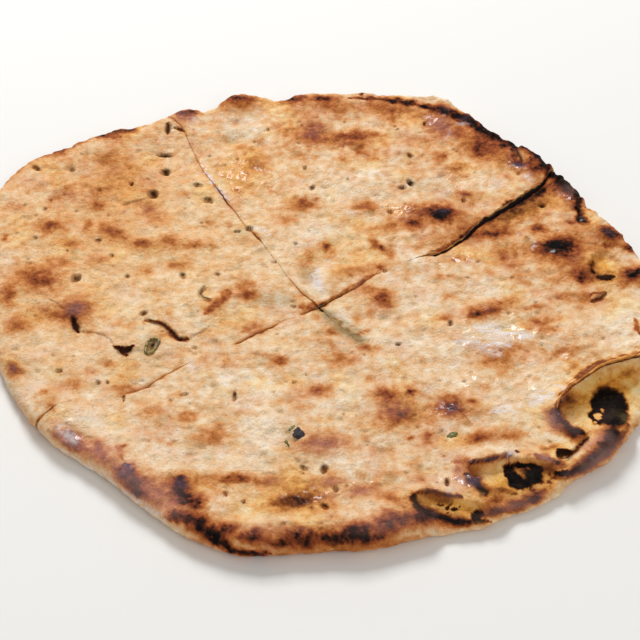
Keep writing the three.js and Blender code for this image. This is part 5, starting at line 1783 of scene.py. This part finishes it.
@dataclass(frozen=True)
class BakedDough(Finish):
    """Tandoor-baked wheat dough: matt and mealy where pale, glazed where it is buttered or charred.

    The bake runs from raw dough over gold and rust to charcoal. Blisters keep the yellow of
    stretched dough inside, and a painted bluish-purple sheen, the reflection of the window light, lies on
    the char.
    """

    name: str = "baked_dough"
    bake_stops: tuple = ((0.00, "#fbf1e2"), (0.14, "#f5dab8"), (0.30, "#e9b987"), (0.42, "#da965d"),
                         (0.54, "#be7236"), (0.66, "#9f5024"), (0.78, "#75361c"), (0.88, "#3c1a0d"),
                         (0.96, "#110a08"), (1.00, "#090605"))
    ochre_stops: tuple = ((0.00, "#feecb8"), (0.18, "#fdd37c"), (0.36, "#efa946"), (0.55, "#b06f2c"),
                          (0.75, "#663814"), (0.92, "#1c0f09"), (1.00, "#090605"))
    # The thinner layers: each with its tone, the most that it covers and its colour.
    layers: tuple = ((Tone.OLIVE, 0.58, "#a98f5c"), (Tone.ROSE, 0.40, "#dba59a"),
                     (Tone.ASH, 0.45, "#86697c"), (Tone.STAIN, 1.0, "#8f764b"),
                     (Tone.FLOUR, 0.9, "#efe6e4"))
    # the painted shade in holes and cracks
    pit_shade: str = "#301708"
    speck: str = "#84431a"
    mottle_size: float = 3.6  # blotches, where the dough lay nearer to the fire
    grain_size: float = 1.0  # the blistered surface of the skin
    speck_size: float = 0.8  # grains of bran, and flour on the outside
    mottle_bake: float = 0.30  # how much the blotches and the grain change the bake
    grain_bake: float = 0.26
    # Where a noise or the bake starts to count and counts fully, and what it then gives.
    bran: tuple = (0.62, 0.72, 0.0, 0.45)  # brown specks
    meal: tuple = (0.36, 0.24, 0.0, 0.34)  # pale specks, which the char hides
    matt: tuple = (0.5, 0.9, 0.44, 0.72)  # the roughness, which rises as the crust chars
    film: tuple = (0.42, 0.58, 0.0, 1.0)  # the butter lies in patches
    meal_fades: float = 1.2  # how fast the pale specks go as the crust bakes
    reliefs: tuple = (0.35, 1.0, 0.8)  # the heights of the specks, the grain and the blotches
    relief_strength: float = 0.8
    grain_roughness: float = 0.30  # how much rougher the grain makes it
    shine: float = 0.11
    butter_roughness: float = 0.16
    noise_detail: dict = field(default_factory=lambda: {"Detail": 4.0, "Roughness": 0.6})

    def colour(self, tree: Tree, tones: dict, bake: Socket, bran: Socket, meal: Socket) -> Socket:
        """The crust's colour: its bake under the thinner layers, its specks and the painted shade in its
        pits.

        Args:
            tree: the material's nodes.
            tones: the outputs that read the tones.
            bake: the uneven bake.
            bran: how much brown specks cover.
            meal: how much pale specks cover.

        Returns:
            The colour.
        """
        ramps = []
        for stops in (self.bake_stops, self.ochre_stops):
            ramps.append(node(tree, "ShaderNodeValToRGB", {}, {"Fac": bake}))
            band = ramps[-1].node.color_ramp.elements
            while len(band) < len(stops):
                band.new(0.5)
            for element, (position, code) in zip(band, stops):
                element.position = position
                element.color = linear(code)
        colour, stretched = ramps
        layers = [(tones[Tone.OCHRE], stretched)]
        layers += [(weighted(tree, 0.0, (tones[tone], most)), linear(code))
                   for tone, most, code in self.layers]
        layers += [(bran, linear(self.speck)), (meal, linear(self.bake_stops[0][1])),
                   (tones[Tone.PIT], linear(self.pit_shade))]
        for share, over in layers:
            colour = node(tree, "ShaderNodeMix", BLENDED, {0: share, 6: colour, 7: over}, 2)
        return colour

    def shade(self, tree: Tree, place: Socket) -> dict[str, Socket | float]:
        """The colour, the buttered or glazed zones as a coat, and the relief.

        Args:
            tree: the material's nodes.
            place: the Object coordinates.

        Returns:
            What goes into the shader's inputs.
        """
        tones = {tone: node(tree, "ShaderNodeAttribute", {"attribute_name": tone.value}, {}, "Fac")
                 for tone in Tone}
        mottle, grain, specks = (
            node(tree, "ShaderNodeTexNoise", {}, {"Vector": place, "Scale": per_mm(size),
                                                  **self.noise_detail})
            for size in (self.mottle_size, self.grain_size, self.speck_size))
        steps = ((specks, self.bran), (specks, self.meal), (tones[Tone.BAKE], self.matt),
                 (mottle, self.film))
        bran, meal, matt, film = (
            node(tree, "ShaderNodeMapRange", EASED, {"Value": value, "From Min": start, "From Max": full,
                                                     "To Min": least, "To Max": most})
            for value, (start, full, least, most) in steps)
        centre = -(self.mottle_bake + self.grain_bake) / 2
        bake = weighted(tree, centre, (tones[Tone.BAKE], 1.0), (mottle, self.mottle_bake),
                        (grain, self.grain_bake))
        unbaked = weighted(tree, self.meal_fades, (tones[Tone.BAKE], -self.meal_fades))
        meal, coat = (node(tree, "ShaderNodeMath", TIMES, {0: share, 1: other})
                      for share, other in ((meal, unbaked), (film, tones[Tone.GLOSS])))
        relief = weighted(tree, 0.0, *zip((specks, grain, mottle), self.reliefs))
        bump = node(tree, "ShaderNodeBump", {}, {"Height": relief, "Strength": self.relief_strength,
                                                 "Distance": MM})
        return {"Base Color": self.colour(tree, tones, bake, bran, meal), "Normal": bump,
                "Roughness": weighted(tree, matt, (grain, self.grain_roughness)),
                "Specular IOR Level": self.shine, "Coat Weight": coat,
                "Coat Roughness": self.butter_roughness}


@dataclass(frozen=True)
class PorousFace(Finish):
    """A face of plain crumb or of the crust that lay on the oven wall: two shades, with pores.

    It is charred where it is baked. On the open crumb that bake is the painted shade in the slit, so there
    the char colour is painted shade.
    """

    name: str
    light: str
    dark: str
    patch_size: float
    roughness: float
    # char, and on the open crumb the painted shade in the slit
    burnt: str = "#24110a"
    darkens: tuple = (0.38, 0.64)  # the noise between which light turns to dark
    chars: tuple = (0.5, 0.9)  # the bake between which it chars
    pore_depth: float = 0.8
    pore_strength: float = 0.6

    def shade(self, tree: Tree, place: Socket) -> dict[str, Socket | float]:
        """Patches of the two shades, char where the face is baked, which on the open crumb is painted
        shade, and pores as relief.

        Args:
            tree: the material's nodes.
            place: the Object coordinates.

        Returns:
            What goes into the shader's inputs.
        """
        patches = node(tree, "ShaderNodeTexNoise", {}, {
            "Vector": place, "Scale": per_mm(self.patch_size), "Detail": 6.0, "Roughness": 0.65})
        baked = node(tree, "ShaderNodeAttribute", {"attribute_name": Tone.BAKE.value}, {}, "Fac")
        colour = linear(self.light)
        for value, (start, full), over in ((patches, self.darkens, self.dark),
                                           (baked, self.chars, self.burnt)):
            share = node(tree, "ShaderNodeMapRange", EASED, {
                "Value": value, "From Min": start, "From Max": full})
            colour = node(tree, "ShaderNodeMix", BLENDED, {0: share, 6: colour, 7: linear(over)}, 2)
        pores = node(tree, "ShaderNodeBump", {}, {
            "Height": patches, "Strength": self.pore_strength, "Distance": self.pore_depth * MM})
        return {"Base Color": colour, "Roughness": self.roughness, "Normal": pores}


@dataclass(frozen=True)
class HerbSkin(Finish):
    """A leaf or a slice of chilli: two shades of its colour, with a faint waxy shine."""

    name: str
    light: str
    dark: str
    roughness: float
    patch_size: float = 1.2
    darkens: tuple = (0.4, 0.6)  # the noise between which light turns to dark

    def shade(self, tree: Tree, place: Socket) -> dict[str, Socket | float]:
        """The two shades in patches.

        Args:
            tree: the material's nodes.
            place: the Object coordinates.

        Returns:
            What goes into the shader's inputs.
        """
        patches = node(tree, "ShaderNodeTexNoise", {}, {
            "Vector": place, "Scale": per_mm(self.patch_size), "Detail": 3.0})
        start, full = self.darkens
        share = node(tree, "ShaderNodeMapRange", {}, {
            "Value": patches, "From Min": start, "From Max": full})
        colour = node(tree, "ShaderNodeMix", BLENDED, {
            0: share, 6: linear(self.light), 7: linear(self.dark)}, 2)
        return {"Base Color": colour, "Roughness": self.roughness}


@dataclass(frozen=True)
class FloorPaint(Finish):
    """Matt paint, which takes the bread's shadow without a shine."""

    name: str = "floor_paint"
    colour: str = "#eceae6"
    roughness: float = 0.8

    def shade(self, tree: Tree, place: Socket) -> dict[str, Socket | float]:
        """One plain colour."""
        return {"Base Color": linear(self.colour), "Roughness": self.roughness}


# ----------------------------------------------------------------------------- studio
@dataclass(frozen=True)
class Studio:
    """A pale floor, a large soft window light behind and a weak fill in front. Lengths in metres."""

    target: tuple = (0.002, -0.010, 0.0)
    elevation: float = 44.5
    distance: float = 0.650
    lens: float = 99.73
    sensor: float = 36.0
    floor_size: float = 6.0
    sky_colour: tuple = (1.0, 0.99, 0.98, 1.0)
    sky_strength: float = 0.41

    def build(self) -> None:
        """Makes the floor, the lights, the sky and the camera."""
        self.floor()
        self.light("window", (-0.35, 1.25, 1.2), 0.6, 26.0, (0.96, 0.98, 1.0))
        self.light("fill", (0.6, -1.2, 1.3), 1.2, 7.8, (1.0, 0.98, 0.95))
        world = bpy.data.worlds.new("sky")
        world.use_nodes = True
        sky = {"Color": self.sky_colour, "Strength": self.sky_strength}
        feed(world.node_tree, world.node_tree.nodes["Background"], sky)
        bpy.context.scene.world = world
        bpy.context.scene.view_settings.view_transform = "Standard"
        self.camera()

    def floor(self) -> None:
        """A flat matt floor just under the bread."""
        half = self.floor_size / 2
        mesh = bpy.data.meshes.new("floor")
        corners = [(-half, -half, 0.0), (half, -half, 0.0), (half, half, 0.0), (-half, half, 0.0)]
        mesh.from_pydata(corners, [], [(0, 1, 2, 3)])
        mesh.materials.append(FloorPaint().build())
        floor = add_object("floor", mesh)

    def light(self, name: str, place: tuple, size: float, power: float, colour: tuple) -> None:
        """Makes a square lamp that faces the bread.

        Args:
            name: the lamp's name.
            place: where it hangs.
            size: how wide it is.
            power: its power in watts.
            colour: its colour.
        """
        data = bpy.data.lights.new(name, "AREA")
        data.shape = "SQUARE"
        data.size = size
        data.energy = power
        data.color = colour
        lamp = add_object(name, data)
        lamp.location = place
        lamp.rotation_mode = "QUATERNION"
        lamp.rotation_quaternion = lamp.location.normalized().to_track_quat("Z", "Y")

    def camera(self) -> None:
        """A long lens that looks down on the bread from the front."""
        data = bpy.data.cameras.new("camera")
        data.lens = self.lens
        data.sensor_width = self.sensor
        camera = add_object("camera", data)
        angle = math.radians(self.elevation)
        camera.location = (self.target[0], self.target[1] - self.distance * math.cos(angle),
                           self.target[2] + self.distance * math.sin(angle))
        camera.rotation_euler = (math.pi / 2 - angle, 0.0, 0.0)
        bpy.context.scene.camera = camera


# ----------------------------------------------------------------------------- the bread
QUARTERS = (
    Quarter("quarter_back", 0, RIGHT_CUT, BACK_CUT, bulge=3.6, rolls=(0.85, 0.9, 1.15), lifts=True),
    Quarter("quarter_left", 1, BACK_CUT, LEFT_CUT, bulge=4.4, rolls=(1.15, 1.4, 2.1)),
    Quarter("quarter_front", 2, LEFT_CUT, FRONT_CUT, bulge=5.2, rolls=(2.1, 2.8, 1.8)),
    Quarter("quarter_right", 3, FRONT_CUT, RIGHT_CUT, bulge=4.0, rolls=(1.8, 0.8, 0.85)),
)
FLAPS = (
    TornFlap("flap_west", "crust_right", EAST_BLISTER, (1, 5), 1.9, 1.2, 0.6, (.28, .80), 0.5),
    TornFlap("flap_east", "crust_right", EAST_BLISTER, (4, 10), 2.3, 1.6, 0.6, (.16, .74), 0.9),
)
CHARRED_HERB = Lump("herb_charred", "crust_front", (-5.4, -73.8), (3.5, 5.2, 1.8), 8, 0.5)
GREEN_HERBS = (
    Lump("herb_green_1", "crust_front", (-7.4, -70.6), (2.8, 1.6, 0.9), 50, 0.5),
    Lump("herb_green_2", "crust_front", (-9.1, -77.4), (3.2, 1.6, 0.9), -65, 0.5),
    Lump("herb_green_3", "crust_front", (47, -72.5), (4.2, 2.4, 1.0), 25, 0.2),
)
CHILLI = ChilliRing("chilli_ring", "crust_left", (-57.6, -30.8), (4.2, 1.7), 68, 1.1)


def main() -> None:
    """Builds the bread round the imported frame, and the studio round the bread."""
    logging.basicConfig(level=logging.INFO, format="%(name)s: %(message)s")
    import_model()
    Studio().build()
    crust = Crust()
    finishes = [
        BakedDough().build(),
        PorousFace("open_crumb", "#e0a860", "#9a622c", 1.8, 0.85).build(),
        PorousFace("oven_side", "#dcb078", "#9a6236", 9.0, 0.7).build(),
    ]
    slots = {quarter.name.replace("quarter", "crust"): quarter for quarter in QUARTERS}
    for slot, quarter in slots.items():
        piece = quarter.build(crust, finishes)
        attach(piece, "root")
        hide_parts(quarter.name)
        LOG.info("%s has %d faces", piece.name, len(piece.data.polygons))
    burnt_leaf = HerbSkin("burnt_leaf", "#33242b", "#120b0a", 0.75).build()
    green_leaf = HerbSkin("green_leaf", "#7e7a28", "#302c0f", 0.6).build()
    chilli_skin = HerbSkin("chilli_skin", "#a58d44", "#4c3b12", 0.5).build()
    bits = [(flap, finishes[0]) for flap in FLAPS] + [(bit, green_leaf) for bit in GREEN_HERBS]
    bits += [(CHARRED_HERB, burnt_leaf), (CHILLI, chilli_skin)]
    for bit, finish in bits:
        piece = bit.build(crust, slots, finish)
        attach(piece, "root")
        LOG.info("%s has %d faces", piece.name, len(piece.data.polygons))


if __name__ == "__main__":
    main()
